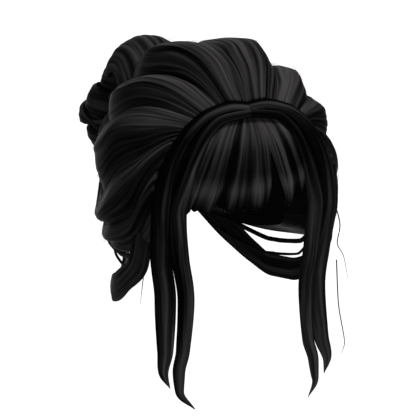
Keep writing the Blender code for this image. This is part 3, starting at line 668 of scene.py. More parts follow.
def resample(outline, count):
    """Points evenly spaced round a closed outline, with its corners slightly eased."""
    corners = np.array(outline + outline[:1], float)
    runs = np.concatenate(([0], np.cumsum(np.linalg.norm(np.diff(corners, axis=0), axis=1))))
    at = np.linspace(0, runs[-1], count, endpoint=False)
    points = np.stack([np.interp(at, runs, corners[:, k]) for k in (0, 1)], axis=1)
    return (np.roll(points, 1, axis=0) + 2 * points + np.roll(points, -1, axis=0)) / 4


# Meshes

def corners(values, order=(0, 1, 2, 3)):
    """A grid's values at the four corners of each of its cells, in an order round them."""
    four = (values[:-1, :-1], values[:-1, 1:], values[1:, 1:], values[1:, :-1])
    return np.stack([four[k] for k in order], axis=2)


def mesh_piece(name, points, faces, light):
    """Object of points and four-sided faces, with the lightness at each point."""
    mesh = bpy.data.meshes.new(name)
    mesh.vertices.add(len(points))
    mesh.vertices.foreach_set("co", points.reshape(-1).astype(np.float32))
    mesh.loops.add(faces.size)
    mesh.loops.foreach_set("vertex_index", faces.reshape(-1))
    mesh.polygons.add(len(faces))
    mesh.polygons.foreach_set("loop_start", np.arange(0, faces.size, 4))
    mesh.update(calc_edges=True)
    mesh.uv_layers.new(name="strands")
    mesh.attributes.new("light", "FLOAT", "POINT").data.foreach_set("value", light)
    mesh.shade_smooth()
    piece = bpy.data.objects.new(name, mesh)
    bpy.context.scene.collection.objects.link(piece)
    return piece


def grid_piece(name, points, across, along, light, closed=False, turned=False):
    """Object of a grid of points with places across and along the hair as its UV map."""
    rows, columns = points.shape[:2]
    ids = np.arange(rows * columns).reshape(rows, columns)
    across = np.broadcast_to(across, (rows, columns))
    along = np.broadcast_to(along, (rows, columns))
    if closed:
        ids = np.hstack((ids, ids[:, :1]))
        last = across[:, -1:] + np.abs(across[:, -1:] - across[:, -2:-1])
        across = np.hstack((across, last))
        along = np.hstack((along, along[:, :1]))
    order = (0, 1, 2, 3) if turned else (3, 2, 1, 0)
    piece = mesh_piece(name, points.reshape(-1, 3), corners(ids, order).reshape(-1, 4),
                       np.broadcast_to(light, (rows, columns)).reshape(-1))
    places = corners(np.stack((across, along), axis=-1), order)
    piece.data.uv_layers["strands"].uv.foreach_set("vector", places.reshape(-1))
    piece.data.validate()
    return piece


def dress(piece, material, slot, *nodes):
    """Give a piece its material and its place in the frame."""
    piece.data.materials.append(material)
    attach(piece, BODY)
    if nodes:
        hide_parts(*nodes)
    return piece


def hair_piece(name, points, material, slot, nodes=(), shade=0.0, closed=False,
               turned=False, relief=1.0):
    """Piece of hair over a grid of points, its grain raised and tinted, painted shade added."""
    across = lengths(points, 1)[None, :]
    along = lengths(points, 0)[:, None]
    raised, light = weave(across, along, LANES[name])
    way = 1 if turned else -1
    points = points - way * outward(points, closed) * (raised * relief)[..., None]
    piece = grid_piece(name, points, across, along, light + shade, closed, turned)
    return dress(piece, material, slot, *nodes)


def tube_points(centres, across, forward, outline, width, depth):
    """Rings of an outline along centres: across and forward are directions of each ring."""
    return (centres[:, None]
            + across[:, None] * (outline[..., :1] * width[:, None, None])
            + forward[:, None] * (outline[..., 1:] * depth[:, None, None]))


def round_tube(name, paths, diameters, sides, material, slot, nodes=()):
    """Piece of round hairs along paths of equal count, thinning to their ends."""
    angles = np.linspace(0, 2 * math.pi, sides, endpoint=False)[None, :, None]
    points, faces, shades, start = [], [], [], 0
    for path, diameter in zip(paths, diameters):
        run = unit(np.gradient(path, axis=0))
        side = unit(np.cross(run, TUBE_SIDE))
        other = np.cross(run, side)
        radius = 0.5 * np.asarray(diameter)[:, None, None]
        ring = path[:, None] + radius * (np.cos(angles) * side[:, None]
                                         + np.sin(angles) * other[:, None])
        count = len(path) * sides
        ids = np.arange(count).reshape(len(path), sides) + start
        ids = np.hstack((ids, ids[:, :1]))
        faces.append(corners(ids).reshape(-1, 4))
        points.append(ring.reshape(-1, 3))
        shade = TUBE_CONTRAST * GRAIN[start % len(GRAIN), TUBE_COLUMN]
        shades.append(np.full(count, shade))
        start += count
    piece = mesh_piece(name, np.concatenate(points), np.concatenate(faces),
                       np.concatenate(shades))
    return dress(piece, material, slot, *nodes)


# Materials

def new_material(name):
    """Material of a name, with its node tree and its shader."""
    material = bpy.data.materials.new(name)
    material.use_nodes = True
    tree = material.node_tree
    return material, tree, tree.nodes["Principled BSDF"]


def node(tree, kind, place, inputs=(), **settings):
    """Shader node of a kind at a place in the tree, its inputs given as names and values."""
    made = tree.nodes.new(kind)
    made.location = place
    for name, value in settings.items():
        setattr(made, name, value)
    for name, value in inputs:
        made.inputs[name].default_value = value
    return made


def tone_ramp(tree, place, colour, tones, warmth=1.0):
    """Ramp of tones, each a place in it and how many times the colour, the light ones redder."""
    ramp = node(tree, "ShaderNodeValToRGB", place)
    stops = ramp.color_ramp.elements
    while len(stops) < len(tones):
        stops.new(0.5)
    for stop, (spot, gain) in zip(stops, tones):
        stop.position = spot
        warm = warmth if gain > 1 else 1.0
        stop.color = (colour[0] * gain * warm, colour[1] * gain, colour[2] * gain, 1)
    return ramp


def link(tree, *pairs):
    """Join sockets: each pair is a node, its output, another node and its input."""
    for giver, output, taker, entry in pairs:
        tree.links.new(giver.outputs[output], taker.inputs[entry])


def hair_material(name):
    """Near-black hair: streaks, painted light and shade, fine hairs and a faint shine across
    them.
    """
    hair = bpy.context.scene.bun_hair
    material, tree, shader = new_material(name)
    shader.inputs["Specular IOR Level"].default_value = hair.gloss
    shader.inputs["Anisotropic"].default_value = SHINE_STRETCH

    place = node(tree, "ShaderNodeUVMap", (-1400, 0), uv_map="strands")
    stretch = node(tree, "ShaderNodeMapping", (-1200, 0), [("Scale", FINE_HAIRS)])
    hairs = node(tree, "ShaderNodeTexNoise", (-1000, 0),
                 [("Scale", 1.0), ("Detail", 3.0), ("Roughness", 0.6)])
    # The lightness of each point: its grain and its piece's painted light and shade
    light = node(tree, "ShaderNodeAttribute", (-1000, 300), attribute_name="light")
    mix = node(tree, "ShaderNodeMath", (-800, 200), [(1, FINE_GAIN), (2, FINE_SHIFT)],
               operation="MULTIPLY_ADD")
    total = node(tree, "ShaderNodeMath", (-620, 260), operation="ADD")
    shift = node(tree, "ShaderNodeMapRange", (-620, 60),
                 [("From Min", SHADE_AND_GRAIN_RANGE[0]), ("From Max", SHADE_AND_GRAIN_RANGE[1])])
    ramp = tone_ramp(tree, (-440, 260), hair.colour, SHADE_AND_GRAIN_TONES, STREAK_WARMTH)
    gloss = node(tree, "ShaderNodeMapRange", (-440, -60),
                 [("To Min", hair.roughness - 0.08), ("To Max", hair.roughness + 0.10)])
    bump = node(tree, "ShaderNodeBump", (-440, -300),
                [("Strength", 0.35), ("Distance", 0.15 * MM)])
    tangent = node(tree, "ShaderNodeTangent", (-440, -480), direction_type="UV_MAP",
                   uv_map="strands")
    link(tree, (place, "UV", stretch, "Vector"),
         (stretch, "Vector", hairs, "Vector"),
         (hairs, "Fac", mix, 0),
         (mix, "Value", total, 0),
         (light, "Fac", total, 1),
         (total, "Value", shift, "Value"),
         (shift, "Result", ramp, "Fac"),
         (ramp, "Color", shader, "Base Color"),
         (hairs, "Fac", gloss, "Value"),
         (gloss, "Result", shader, "Roughness"),
         (hairs, "Fac", bump, "Height"),
         (bump, "Normal", shader, "Normal"),
         (tangent, "Tangent", shader, "Tangent"))
    return material


def cap_material():
    """Matt stretch net of the wig cap."""
    cap = bpy.context.scene.bun_cap
    material, tree, shader = new_material("cap_net")
    shader.inputs["Specular IOR Level"].default_value = 0.0
    shader.inputs["Roughness"].default_value = 0.8
    place = node(tree, "ShaderNodeUVMap", (-1200, 0), uv_map="strands")
    stretch = node(tree, "ShaderNodeMapping", (-1000, 0), [("Scale", NET_MESHES)])
    net = node(tree, "ShaderNodeTexVoronoi", (-800, 0), [("Scale", 1.0)],
               feature="DISTANCE_TO_EDGE")
    threads = node(tree, "ShaderNodeMapRange", (-600, 0), [("From Max", 0.35)])
    ramp = tone_ramp(tree, (-400, 0), cap.colour, NET_TONES)
    bump = node(tree, "ShaderNodeBump", (-400, -300),
                [("Strength", 0.5), ("Distance", 0.3 * MM)], invert=True)
    link(tree, (place, "UV", stretch, "Vector"),
         (stretch, "Vector", net, "Vector"),
         (net, "Distance", threads, "Value"),
         (threads, "Result", ramp, "Fac"),
         (ramp, "Color", shader, "Base Color"),
         (threads, "Result", bump, "Height"),
         (bump, "Normal", shader, "Normal"))
    return material


# Shapes

def front_at(z):
    """Y of the crown's flat front at heights."""
    return -FRONT_REACH - FRONT_RAKE * (z - CROWN_RISE * CROWN[0].top) / CROWN_DROP


def front_band(first):
    """The inner edge of the flat band that lies inside the crown's first row of points."""
    inward = np.stack((-first[:, 0], 0 * first[:, 0],
                       -CROWN_DROP * CROWN[0].middle - first[:, 2]), axis=1)
    band = first + unit(inward) * FRONT_BAND
    band[:, 1] = front_at(band[:, 2])
    return band


def on_head(points):
    """Points of the head's surface straight inwards from points of the crown."""
    aim = np.array((0, 0, -AIM_DROP))
    start = np.array((0, 0, HEAD[2] - AIM_DROP)) / HEAD
    step = (points - aim) / HEAD
    a, b, c = (step * step).sum(-1), 2 * (step * start).sum(-1), (start * start).sum() - 1
    reach = (-b + np.sqrt(b * b - 4 * a * c)) / (2 * a)
    return aim + (points - aim) * reach[..., None]


def crown_points(shares, lines, side, swell):
    """Points of the crown at shares from the hairline to the bun, on pleat lines of a side."""
    row = Section(*(column[:, None] for column in between(CROWN, shares)))
    table = np.array(PLEATS)
    whole = np.arange(len(PLEATS))
    line = np.stack([np.interp(lines, whole, table[:, k]) for k in range(len(PLEAT_PLACES))])
    t = lines - np.floor(lines)
    height = (np.interp(lines, whole, table[:, -1])
              + PLEAT_FULLNESS * 4 * t * (1 - t))[None, :]
    angle = np.radians(row.wrap * eased(PLEAT_PLACES, line, shares))
    sine, cosine = np.sin(angle), np.cos(angle)
    z_top, z_mid, z_low = CROWN_RISE * row.top, -CROWN_DROP * row.middle, -CROWN_DROP * row.low
    across = CROWN_HALF_WIDTH * row.half_width * np.abs(sine) ** row.box
    lowest = np.abs(np.cos(np.radians(row.wrap))) ** row.box
    squared = np.abs(cosine) ** row.box
    z = np.where(cosine >= 0, z_mid + (z_top - z_mid) * squared,
                 z_mid - (z_mid - z_low) * squared / lowest)
    back = row.top_back + (row.low_back - row.top_back) * (z_top - z) / (z_top - z_low)
    y = -FRONT_REACH + CROWN_LENGTH * back
    out = swell * (height * row.pleat * PLEAT_DEPTH
                   - np.clip(1 - lines, 0, 1)[None, :] * row.parting * PARTING_DIP)
    return np.stack((side * (across + out * sine), y + 0 * z, z + out * cosine), axis=-1)


def crown_shades(lines):
    """Painted light and shade of each pleat line: lit facing the top lamp, shaded below it."""
    slope = np.interp(np.floor(lines), np.arange(len(PLEATS) - 1),
                      np.diff([pleat.height for pleat in PLEATS]))
    faces = np.where(slope > 0, LIT_FACE, SHADED_FACE)
    faces[lines < 1] = PARTING_LIGHT
    return faces + np.interp(lines, FOLD_LINES, FOLD_LIGHT)


def lock_rings(side, table, reach, length, width, depth, step):
    """Rings of a face lock from the parting to its tip, with their outlines and shares."""
    shares = np.linspace(0, 1, LOCK_GRID[0]) ** LOCK_PACKING
    row = between(table, shares)
    z = -LOCK_TOP - length * row.drop
    y = (front_at(np.maximum(z, -CROWN_DROP * CROWN[0].low)) - GAP
         - depth * (0.5 + row.back) - step)
    centres = np.stack((side * (GAP / 2 + reach * row.side), y, z), axis=1)
    run = unit(np.gradient(centres, axis=0))
    run[0] = (side, 0, 0)
    forward = np.tile((0.0, -1.0, 0.0), (LOCK_GRID[0], 1))
    across = unit(np.cross(run, forward)) * side
    arch = np.clip(ARCH_FADE * (1 - shares / ARCH_END), 0, 1)[:, None, None]
    outline = (resample(ARCH_OUTLINE, LOCK_GRID[1]) * arch
               + resample(LOCK_OUTLINE, LOCK_GRID[1]) * (1 - arch))
    return tube_points(centres, across, forward, outline, width * row.wide,
                       depth * row.thick), outline, shares


def route(table, side, count):
    """Points of a route round the nape and the share of the full width at each."""
    row = between(table, np.linspace(0, 1, count))
    points = np.stack((side * NAPE_REACH * row.side, NAPE_DEPTH * row.back,
                       -NAPE_DROP * row.drop), axis=1)
    return points, row.wide


def in_bun(points):
    """Points of the bun's own tilted frame, in the part's frame."""
    x, y, z = points[..., 0], points[..., 1], points[..., 2]
    cosine, sine = math.cos(BUN_TILT), math.sin(BUN_TILT)
    return np.stack((x, BUN_BACK + y * cosine - z * sine,
                     -BUN_MIDDLE + y * sine + z * cosine), axis=-1)


# Operators

class BUNHAIR_OT_crown(bpy.types.Operator):
    """Dress the crown: its pleats in hair, its hollow in a wig cap"""
    bl_idname = "bunhair.crown"
    bl_label = "Crown"

    def execute(self, context):
        material = hair_material("crown_hair")
        last = len(PLEATS) - 1
        shares = np.linspace(0, 1, CROWN_ROWS) ** CROWN_PACKING
        lines = np.linspace(-MIDDLE_LINE, MIDDLE_LINE, CROWN_MIDDLE_COLUMNS)
        middle = smoothed(crown_points(shares, np.abs(lines), 1, 1), CROWN_EASING)
        middle[..., 0] *= np.sign(lines)[None, :] + (lines == 0)
        self.add("crown_middle", middle, np.abs(lines), 1, material, ("crown",))
        lines = np.linspace(MIDDLE_LINE, last, CROWN_SIDE_COLUMNS)
        places = np.concatenate((lines, np.full(RIM_COLUMNS, last)))
        steps = np.linspace(0, 1, RIM_COLUMNS + 1)[None, 1:, None]
        for word, side in SIDES:
            points = smoothed(crown_points(shares, lines, side, 1), CROWN_EASING)
            inner = on_head(crown_points(shares, lines[-1:], side, 0))
            rim = points[:, -1:] + (inner - points[:, -1:]) * steps
            self.add("crown_side_" + word, np.concatenate((points, rim), axis=1), places, side,
                     material, ())
        self.add_lining()
        return {"FINISHED"}

    def add(self, name, points, lines, side, material, nodes):
        """One part of the crown, with its front band and its gathered end."""
        first = points[0]
        band = front_band(first)
        rim = RIM_COLUMNS if lines[-1] == lines[-2] else 0
        if rim:
            t = np.linspace(0, 1, rim + 1)[1:, None]
            band[-rim:] = band[-rim - 1] * (1 - t) + first[-1] * t
        front = blend(band, first, FRONT_ROWS)[:-1]
        ring = crown_points(np.array([1.0]), np.linspace(0, len(PLEATS) - 1, END_POINTS), 1, 1)
        middle = np.array((0, ring[..., 1].mean(), ring[..., 2].mean()))
        end = blend(points[-1], middle, END_ROWS)[1:]
        grid = np.concatenate((front, points, end))
        # Painted light and shade: lit and shaded pleat faces, a shaded front band and rim, less
        # of it towards the bun
        shade = crown_shades(lines)[None, :] * np.ones((len(grid), 1))
        shade[:len(front)] = FRONT_SHADE
        shade[:, len(lines) - rim:] += HIDDEN_SHADE
        fade = np.linspace(0, 1, len(points))[:, None]
        shade[len(front):len(front) + len(points)] *= 1 - CROWN_FADE * fade
        hair_piece(name, grid, material, "crown_hair", nodes, shade, turned=side < 0)

    def add_lining(self):
        """The stretch cap inside, with its sewn wefts."""
        cap = bpy.context.scene.bun_cap
        last = len(PLEATS) - 1
        lines = np.linspace(-last, last, LINING_GRID[1])
        shares = np.linspace(0, 1, LINING_GRID[0])
        outer = crown_points(shares, np.abs(lines), 1, 0)
        first = crown_points(shares[:1], np.abs(lines), 1, 1)[0]
        for points in (outer, first):
            points[..., 0] *= np.sign(lines)
        inner = on_head(outer)
        edge = blend(front_band(first), inner[0], LINING_EDGE_ROWS)[:-1]
        grid = np.concatenate((edge, inner))
        along = lengths(grid, 0)[:, None]
        wefts = np.maximum(0, np.sin(2 * math.pi * along / cap.weft_pitch)) ** 3
        wefts[:LINING_EDGE_ROWS] = 0
        grid = grid + outward(grid, False) * (wefts * cap.weft_relief)[..., None]
        piece = grid_piece("wig_cap", grid, lengths(grid, 1)[None, :], along, 0.0)
        dress(piece, cap_material(), "crown_hair")


class BUNHAIR_OT_face_locks(bpy.types.Operator):
    """Dress the two pairs of face locks"""
    bl_idname = "bunhair.face_locks"
    bl_label = "Face locks"

    def execute(self, context):
        material = hair_material("lock_hair")
        kinds = (("outer_lock_", OUTER_LOCK, OUTER_LOCK_REACH, OUTER_LOCK_LENGTH,
                  OUTER_LOCK_WIDTH, OUTER_LOCK_DEPTH, 0.0),
                 ("inner_lock_", INNER_LOCK, INNER_LOCK_REACH, INNER_LOCK_LENGTH,
                  INNER_LOCK_WIDTH, INNER_LOCK_DEPTH, INNER_LOCK_STEP))
        for stem, *kind in kinds:
            for word, side in SIDES:
                rings, outline, shares = lock_rings(side, *kind)
                # Painted shade on the flank, painted light at the tip, painted light and shade
                # in the arch
                flank = np.clip((FLANK_EDGE - outline[..., 0]) / FLANK_BLEND, 0, 1)
                arch = np.clip(1 - shares / ARCH_END, 0, 1)[:, None] ** 0.5
                tip = np.clip((shares - TIP_START) / (1 - TIP_START), 0, 1)[:, None]
                face_light, flank_light = ARCH_LIGHT[stem]
                shade = (LOCK_LIGHT + FLANK_SHADE * flank + TIP_LIGHT * tip
                         + arch * (face_light * (1 - flank) + flank_light * flank))
                hair_piece(stem + word + "_hair", rings, material, "lock_hair", (stem + word,),
                           shade, closed=True, turned=side < 0, relief=LOCK_RELIEF)
        return {"FINISHED"}


class BUNHAIR_OT_fringe(bpy.types.Operator):
    """Dress the fringe: clumps that fan out from the parting to the brow"""
    bl_idname = "bunhair.fringe"
    bl_label = "Fringe"

    def execute(self, context):
        material = hair_material("fringe_hair")
        lobes, columns, notch = [], [], CLUMPS[0].notch
        for clump in CLUMPS:
            if not columns:
                columns.append((clump.left, notch, 0))
            columns += [(clump.ridge, clump.tip, clump.stand), (clump.right, clump.notch, 0)]
            notch = clump.notch
            if clump.split or clump is CLUMPS[-1]:
                lobes.append(np.array(columns))
                columns = []
        closed = (lobes[0][-1][0] + lobes[1][0][0]) / 2
        for k, lobe in enumerate(lobes):
            self.add(k, lobe, closed, material)
        return {"FINISHED"}

    def add(self, k, lobe, closed, material):
        """One lobe of the fringe, front and back in one sheet round its lower edge."""
        rows, columns = FRINGE_GRID
        columns = int(columns * LOBE_COLUMNS[k])
        at = np.linspace(lobe[0, 0], lobe[-1, 0], columns)
        tip = np.interp(at, lobe[:, 0], lobe[:, 1])
        stand = np.interp(at, lobe[:, 0], lobe[:, 2])[None, :]
        fray = grain(at * FRAY_CELLS, 0.5, FRAY_LANE + k)
        tip = tip + FRAY_DEPTH * fray * (np.abs(at) < FRAY_END)
        shares = np.linspace(0, 1, rows)
        row = FringeRow(*(column[:, None] for column in between(FRINGE_ROWS, shares)))
        parted = np.clip((row.share - FRINGE_SPLIT) / (1 - FRINGE_SPLIT), 0, 1)
        edge = lobe[-1, 0] if k == 0 else lobe[0, 0]
        near = np.clip(1 - np.abs(at - edge) / SPLIT_REACH, 0, 1)[None, :]
        place = at[None, :] + (closed - edge) * near * (1 - parted)
        bow = FRINGE_BOW_MIDDLE + (FRINGE_BOW_SIDE - FRINGE_BOW_MIDDLE) * np.abs(place)
        x = FRINGE_REACH * place * (FRINGE_ROOT + (1 - FRINGE_ROOT) * row.share ** bow)
        z = -FRINGE_TOP - FRINGE_DROP * tip[None, :] * row.share
        y = (front_at(z) - GAP - FRINGE_WALL * FRINGE_ROWS[0].wall - FRINGE_SWELL * row.swell
             + FRINGE_ROUND * (x / FRINGE_REACH) ** 2 * row.share)
        front = np.stack((x, y - FRINGE_RIDGE * stand * row.ridge, z), axis=-1)
        rear = np.stack((x, y + FRINGE_WALL * row.wall, z), axis=-1)[::-FRINGE_BACK_STEP]
        # Painted light and shade down the rows and on the clumps, painted shade on the lower
        # edge and the back
        shade = row.light + (CLUMP_CONTRAST * (stand - CLUMP_EVEN)
                             * np.maximum(row.ridge, CLUMP_LEAST))
        shade[-2:] += EDGE_SHADE
        shade = np.concatenate((shade, np.full(rear.shape[:2], HIDDEN_SHADE)))
        nodes = ("fringe",) if k == 0 else ()
        hair_piece("fringe_" + ("right", "left")[k], np.concatenate((front, rear)), material,
                   "fringe_hair", nodes, shade)


class BUNHAIR_OT_nape(bpy.types.Operator):
    """Dress the bands and strands that loop round the nape"""
    bl_idname = "bunhair.nape"
    bl_label = "Nape"

    def execute(self, context):
        material = hair_material("nape_hair")
        outline = resample(BAND_OUTLINE, BAND_GRID[1])
        growth = np.linspace(0, 1, BAND_GRID[0]) / BAND_TAPER
        taper = np.sqrt(np.clip(growth, BAND_LEAST, 1))
        for (word, side), table in zip(SIDES, (BAND_LEFT, BAND_RIGHT)):
            centres, wide = route(table, side, BAND_GRID[0])
            run = unit(np.gradient(centres, axis=0))
            out = centres - np.array((0, BAND_CENTRE_BACK, 0))
            out[:, 2] = 0
            across = unit(np.cross(run, unit(out)))
            out = np.cross(across, run)
            rings = tube_points(centres, across, out, outline, BAND_WIDTH * wide * taper,
                                np.full(len(centres), BAND_THICKNESS))
            name = "nape_band_" + word
            hair_piece(name + "_hair", rings, material, "nape_hair", (name,), BAND_LIGHT,
                       closed=True, turned=side < 0, relief=BAND_RELIEF)
            self.add_strand("nape_strand_" + word, STRAND, side, STRAND_DIAMETER,
                            STRAND_HAIRS, material)
            self.add_strand("nape_fine_strand_" + word, FINE_STRAND, side,
                            FINE_STRAND_DIAMETER, FINE_STRAND_HAIRS, material)
        return {"FINISHED"}

    def add_strand(self, name, table, side, diameter, count, material):
        """One thin strand: a bundle of twisted hairs."""
        centres, _ = route(table, side, STRAND_GRID[0])
        run = unit(np.gradient(centres, axis=0))
        up = unit(np.cross(run, np.cross((0, 0, 1.0), run)))
        out = np.cross(run, up)
        share = np.linspace(0, 1, STRAND_GRID[0])
        growth = np.minimum(share, 1 - share) / STRAND_TAPER
        thin = np.sqrt(np.clip(growth, STRAND_LEAST, 1))
        paths = []
        for k in range(count):
            turn = 2 * math.pi * (k / max(count - 1, 1) + STRAND_TURNS * share)
            away = (0.0 if k == count - 1 else STRAND_SPREAD) * diameter * thin
            paths.append(centres + up * (away * np.cos(turn))[:, None]
                         + out * (away * np.sin(turn))[:, None])
        round_tube(name + "_hair", paths, [STRAND_HAIR * diameter * thin] * count,
                   STRAND_GRID[1], material, "nape_hair", (name,))


class BUNHAIR_OT_bun(bpy.types.Operator):
    """Dress the bun: its core, its wound coils and the lobe over its top"""
    bl_idname = "bunhair.bun"
    bl_label = "Bun"

    def execute(self, context):
        material = hair_material("bun_hair")
        self.add_core(material)
        for coil in COILS:
            self.add_coil(coil, material)
        self.add_gather(material)
        self.add_lobe(material)
        return {"FINISHED"}

    def add_gather(self, material):
        """The gathered hair between the crown and the bun, under the lobe."""
        turn = np.linspace(0, 2 * math.pi, GATHER_GRID[1], endpoint=False)[None, :]
        share = np.linspace(0, 1, GATHER_GRID[0])[:, None]
        waist = 1 - GATHER_WAIST * np.sin(math.pi * share)
        y = GATHER_FRONT + (GATHER_BACK - GATHER_FRONT) * share
        rings = np.stack((GATHER_HALF_WIDTH * waist * np.cos(turn), y + 0 * turn,
                          -GATHER_MIDDLE + GATHER_HALF_HEIGHT * waist * np.sin(turn)), axis=-1)
        # Painted shade on the gathered hair under the lobe
        hair_piece("gathered_hair", rings, material, "bun_hair", (), GATHER_SHADE, closed=True,
                   turned=True)

    def add_core(self, material):
        """The wound middle, with its hair running round it."""
        turn = np.linspace(0, 2 * math.pi, CORE_GRID[1], endpoint=False)[:, None]
        rise = np.linspace(-0.5, 0.5, CORE_GRID[0])[None, :] * math.pi * CORE_CLOSED
        ball = np.stack((np.cos(turn) * np.cos(rise), np.sin(turn) * np.cos(rise),
                         np.sin(rise) + 0 * turn), axis=-1)
        points = in_bun(ball * (BUN_CORE - CORE_SLACK))
        points = np.concatenate((points, points[:1]))
        # Painted shade on the core under the coils
        hair_piece("bun_core_hair", points, material, "bun_hair", ("bun_core",), CORE_SHADE,
                   turned=True)

    def add_coil(self, coil, material):
        """One band wound round the bun, its ends tucked in towards the core."""
        share = np.linspace(0, 1, COIL_GRID[0])
        lean = math.radians(coil.lean)
        angle = np.radians(coil.start - COIL_OVERLAP
                           + (coil.sweep + 2 * COIL_OVERLAP) * share)
        out = np.stack((np.cos(angle), np.sin(angle), 0 * angle), axis=1)
        tuck = np.clip(1 - np.minimum(share, 1 - share) / TUCK_SHARE, 0, 1) ** TUCK_EASING
        reach = BUN_RADIUS * (coil.reach + coil.grow * (share - 0.5)) - COIL_TUCK * tuck
        centre = out * reach[:, None] + np.array((BUN_RADIUS * coil.shift, 0,
                                                  BUN_RADIUS * coil.level))
        full = COIL_END + (1 - COIL_END) * np.sqrt(np.sin(math.pi * share).clip(0))
        up = np.array((0, 0, math.cos(lean))) + out * math.sin(lean)
        face = out * math.cos(lean) - np.array((0, 0, math.sin(lean)))
        outline = resample(COIL_OUTLINE, COIL_GRID[1])
        rings = in_bun(tube_points(centre, up, face, outline,
                                   COIL_HEIGHT * coil.height * full * (1 - TUCK_NARROW * tuck),
                                   COIL_WALL * (1 - TUCK_THIN * tuck)))
        # Painted light on the coil's upper edge, painted shade on its lower one
        shade = (COIL_LIGHT + COIL_CONTRAST * outline[None, :, 0]
                 * np.ones((COIL_GRID[0], 1)))
        hair_piece(coil.name + "_hair", rings, material, "bun_hair", (coil.name,), shade,
                   closed=True)

    def add_lobe(self, material):
        """The broad lobe over the top of the bun."""
        along = np.linspace(0, CAP_ARC, CAP_GRID[0])[:, None]
        across = np.linspace(-CAP_SPREAD, CAP_SPREAD, CAP_GRID[1])[None, :]

        def sheet(cut):
            half = CAP_HALF - cut
            return in_bun(CAP_PLACE + np.stack(
                (half[0] * np.sin(across) + 0 * along,
                 -half[1] * np.cos(across) * np.cos(along),
                 half[2] * np.cos(across) * np.sin(along)), axis=-1))

        outer, inner = sheet(0.0), sheet(COIL_WALL)
        grid = np.concatenate((outer, inner[:, ::-CAP_BACK_STEP]), axis=1)
        # Painted light on the lobe over the top of the bun
        hair_piece("bun_cap_hair", grid, material, "bun_hair", ("bun_cap",), CAP_LIGHT,
                   closed=True, turned=True)


class BUNHAIR_OT_loose_hair(bpy.types.Operator):
    """Add the wisps that hang beside the locks and the short hairs that stand off"""
    bl_idname = "bunhair.loose_hair"
    bl_label = "Loose hair"

    def execute(self, context):
        loose = context.scene.bun_loose
        material = hair_material("loose_hair")
        points, sides = WISP_GRID
        paths = [eased(np.arange(len(stops)), stops, np.linspace(0, len(stops) - 1, points))
                 for stops in WISPS]
        width = loose.diameter * (1 - WISP_THINNING * np.linspace(0, 1, points) ** 2)
        round_tube("wisps", paths, [width] * len(paths), sides, material, "nape_hair")
        self.add_flyaways(loose, material)
        return {"FINISHED"}

    def add_flyaways(self, loose, material):
        """Short hairs that lift off the crown as they run back to the bun."""
        rng = np.random.default_rng(FLYAWAY_SEED)
        points, sides = FLYAWAY_GRID
        t = np.linspace(0, 1, points)
        width = loose.flyaway_diameter * np.sqrt(np.clip(1.02 - np.abs(2 * t - 1), 0.05, 1))
        paths = []
        for _ in range(loose.flyaways):
            start = rng.uniform(*FLYAWAY_START)
            run = rng.uniform(*FLYAWAY_RUN)
            line = rng.uniform(-FLYAWAY_LINE, FLYAWAY_LINE)
            shares = np.linspace(start, min(start + run, FLYAWAY_END), points)
            path = crown_points(shares, np.array([abs(line)]), 1 if line > 0 else -1, 1)[:, 0]
            away = path - np.array((0, 0, -CROWN_DROP * 0.5))
            away[:, 1] = 0
            lift = rng.uniform(*FLYAWAY_LIFT)
            paths.append(path + unit(away) * (FLYAWAY_ROOT + lift * 4 * t * (1 - t))[:, None])
        round_tube("flyaways", paths, [width] * len(paths), sides, material, "crown_hair")


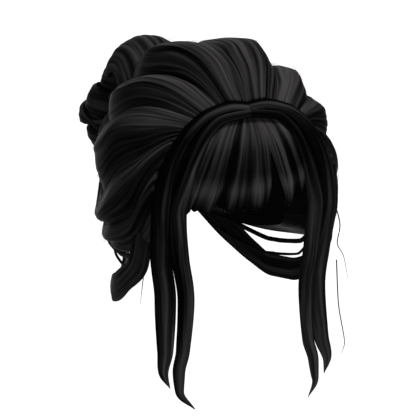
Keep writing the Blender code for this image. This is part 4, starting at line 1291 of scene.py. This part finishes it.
class BUNHAIR_OT_stage(bpy.types.Operator):
    """Set the pale floor, the soft lights and the camera"""
    bl_idname = "bunhair.stage"
    bl_label = "Stage"

    def execute(self, context):
        stage = context.scene.bun_stage
        self.add_floor(stage)
        self.add_lights(stage)
        self.add_camera(stage)
        return {"FINISHED"}

    def add_floor(self, stage):
        """Wide pale floor below the wig."""
        mesh = bpy.data.meshes.new("floor")
        half = stage.floor_half
        corners = [(-half, -half, -stage.floor_drop), (half, -half, -stage.floor_drop),
                   (half, half, -stage.floor_drop), (-half, half, -stage.floor_drop)]
        mesh.from_pydata(corners, [], [(0, 1, 2, 3)])
        floor = bpy.data.objects.new("floor", mesh)
        bpy.context.scene.collection.objects.link(floor)
        material, tree, shader = new_material("floor_paper")
        shader.inputs["Roughness"].default_value = 0.9
        shader.inputs["Specular IOR Level"].default_value = 0.1
        speck = node(tree, "ShaderNodeTexNoise", (-600, 0), [("Scale", 30.0)])
        ramp = tone_ramp(tree, (-400, 0), stage.floor_colour, PAPER_TONES)
        link(tree, (speck, "Fac", ramp, "Fac"), (ramp, "Color", shader, "Base Color"))
        mesh.materials.append(material)

    def add_lights(self, stage):
        """Soft light from the sky, one large lamp above in front and a weak one behind."""
        world = bpy.data.worlds.new("sky")
        world.use_nodes = True
        sky = world.node_tree.nodes["Background"]
        sky.inputs["Color"].default_value = (1, 1, 1, 1)
        sky.inputs["Strength"].default_value = SKY_SOFT if stage.soft_light else SKY_HARD
        bpy.context.scene.world = world
        for name, place, power, spread in LAMPS:
            data = bpy.data.lights.new(name, "SUN")
            data.energy = power
            data.angle = math.radians(spread)
            lamp = bpy.data.objects.new(name, data)
            lamp.location = place
            lamp.rotation_euler = Vector(place).to_track_quat("Z", "Y").to_euler()
            bpy.context.scene.collection.objects.link(lamp)
        bpy.context.scene.view_settings.view_transform = "Standard"

    def add_camera(self, stage):
        """Camera at the angle of the picture, with a long lens."""
        data = bpy.data.cameras.new("camera")
        data.sensor_width = SENSOR_WIDTH
        data.lens = data.sensor_width * stage.distance / stage.picture_width
        data.clip_end = VIEW_END
        target = Vector(TARGET)
        level = math.cos(stage.elevation)
        way = Vector((math.sin(stage.azimuth) * level, -math.cos(stage.azimuth) * level,
                      math.sin(stage.elevation)))
        camera = bpy.data.objects.new("camera", data)
        camera.location = target + way * stage.distance
        camera.rotation_euler = (-way).to_track_quat("-Z", "Y").to_euler()
        bpy.context.scene.collection.objects.link(camera)
        bpy.context.scene.camera = camera


class BUNHAIR_PT_sidebar(bpy.types.Panel):
    """The settings and the steps of the bun hairpiece"""
    bl_idname = "BUNHAIR_PT_sidebar"
    bl_label = "Bun Hairpiece"
    bl_space_type = "VIEW_3D"
    bl_region_type = "UI"
    bl_category = "Bun Hairpiece"

    def draw(self, context):
        for name in SETTINGS:
            box = self.layout.box()
            settings = getattr(context.scene, name)
            for prop in settings.bl_rna.properties:
                if prop.identifier not in ("name", "rna_type"):
                    box.prop(settings, prop.identifier)
        for step in STEPS:
            self.layout.operator(step.bl_idname)


SETTINGS = {"bun_hair": HairSettings, "bun_cap": CapSettings, "bun_loose": LooseHairSettings,
            "bun_stage": StageSettings}
STEPS = (BUNHAIR_OT_crown, BUNHAIR_OT_fringe, BUNHAIR_OT_face_locks, BUNHAIR_OT_nape,
         BUNHAIR_OT_bun, BUNHAIR_OT_loose_hair, BUNHAIR_OT_stage)


def register():
    """Register the settings, the steps and the panel."""
    for name, kind in SETTINGS.items():
        bpy.utils.register_class(kind)
        setattr(bpy.types.Scene, name, PointerProperty(type=kind))
    for kind in (*STEPS, BUNHAIR_PT_sidebar):
        bpy.utils.register_class(kind)


def unregister():
    """Take the settings, the steps and the panel away again."""
    for kind in (BUNHAIR_PT_sidebar, *reversed(STEPS)):
        bpy.utils.unregister_class(kind)
    for name, kind in reversed(SETTINGS.items()):
        delattr(bpy.types.Scene, name)
        bpy.utils.unregister_class(kind)


def main():
    """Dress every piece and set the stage."""
    register()
    for step in STEPS:
        group, name = step.bl_idname.split(".")
        getattr(getattr(bpy.ops, group), name)()


if __name__ == "__main__":
    main()
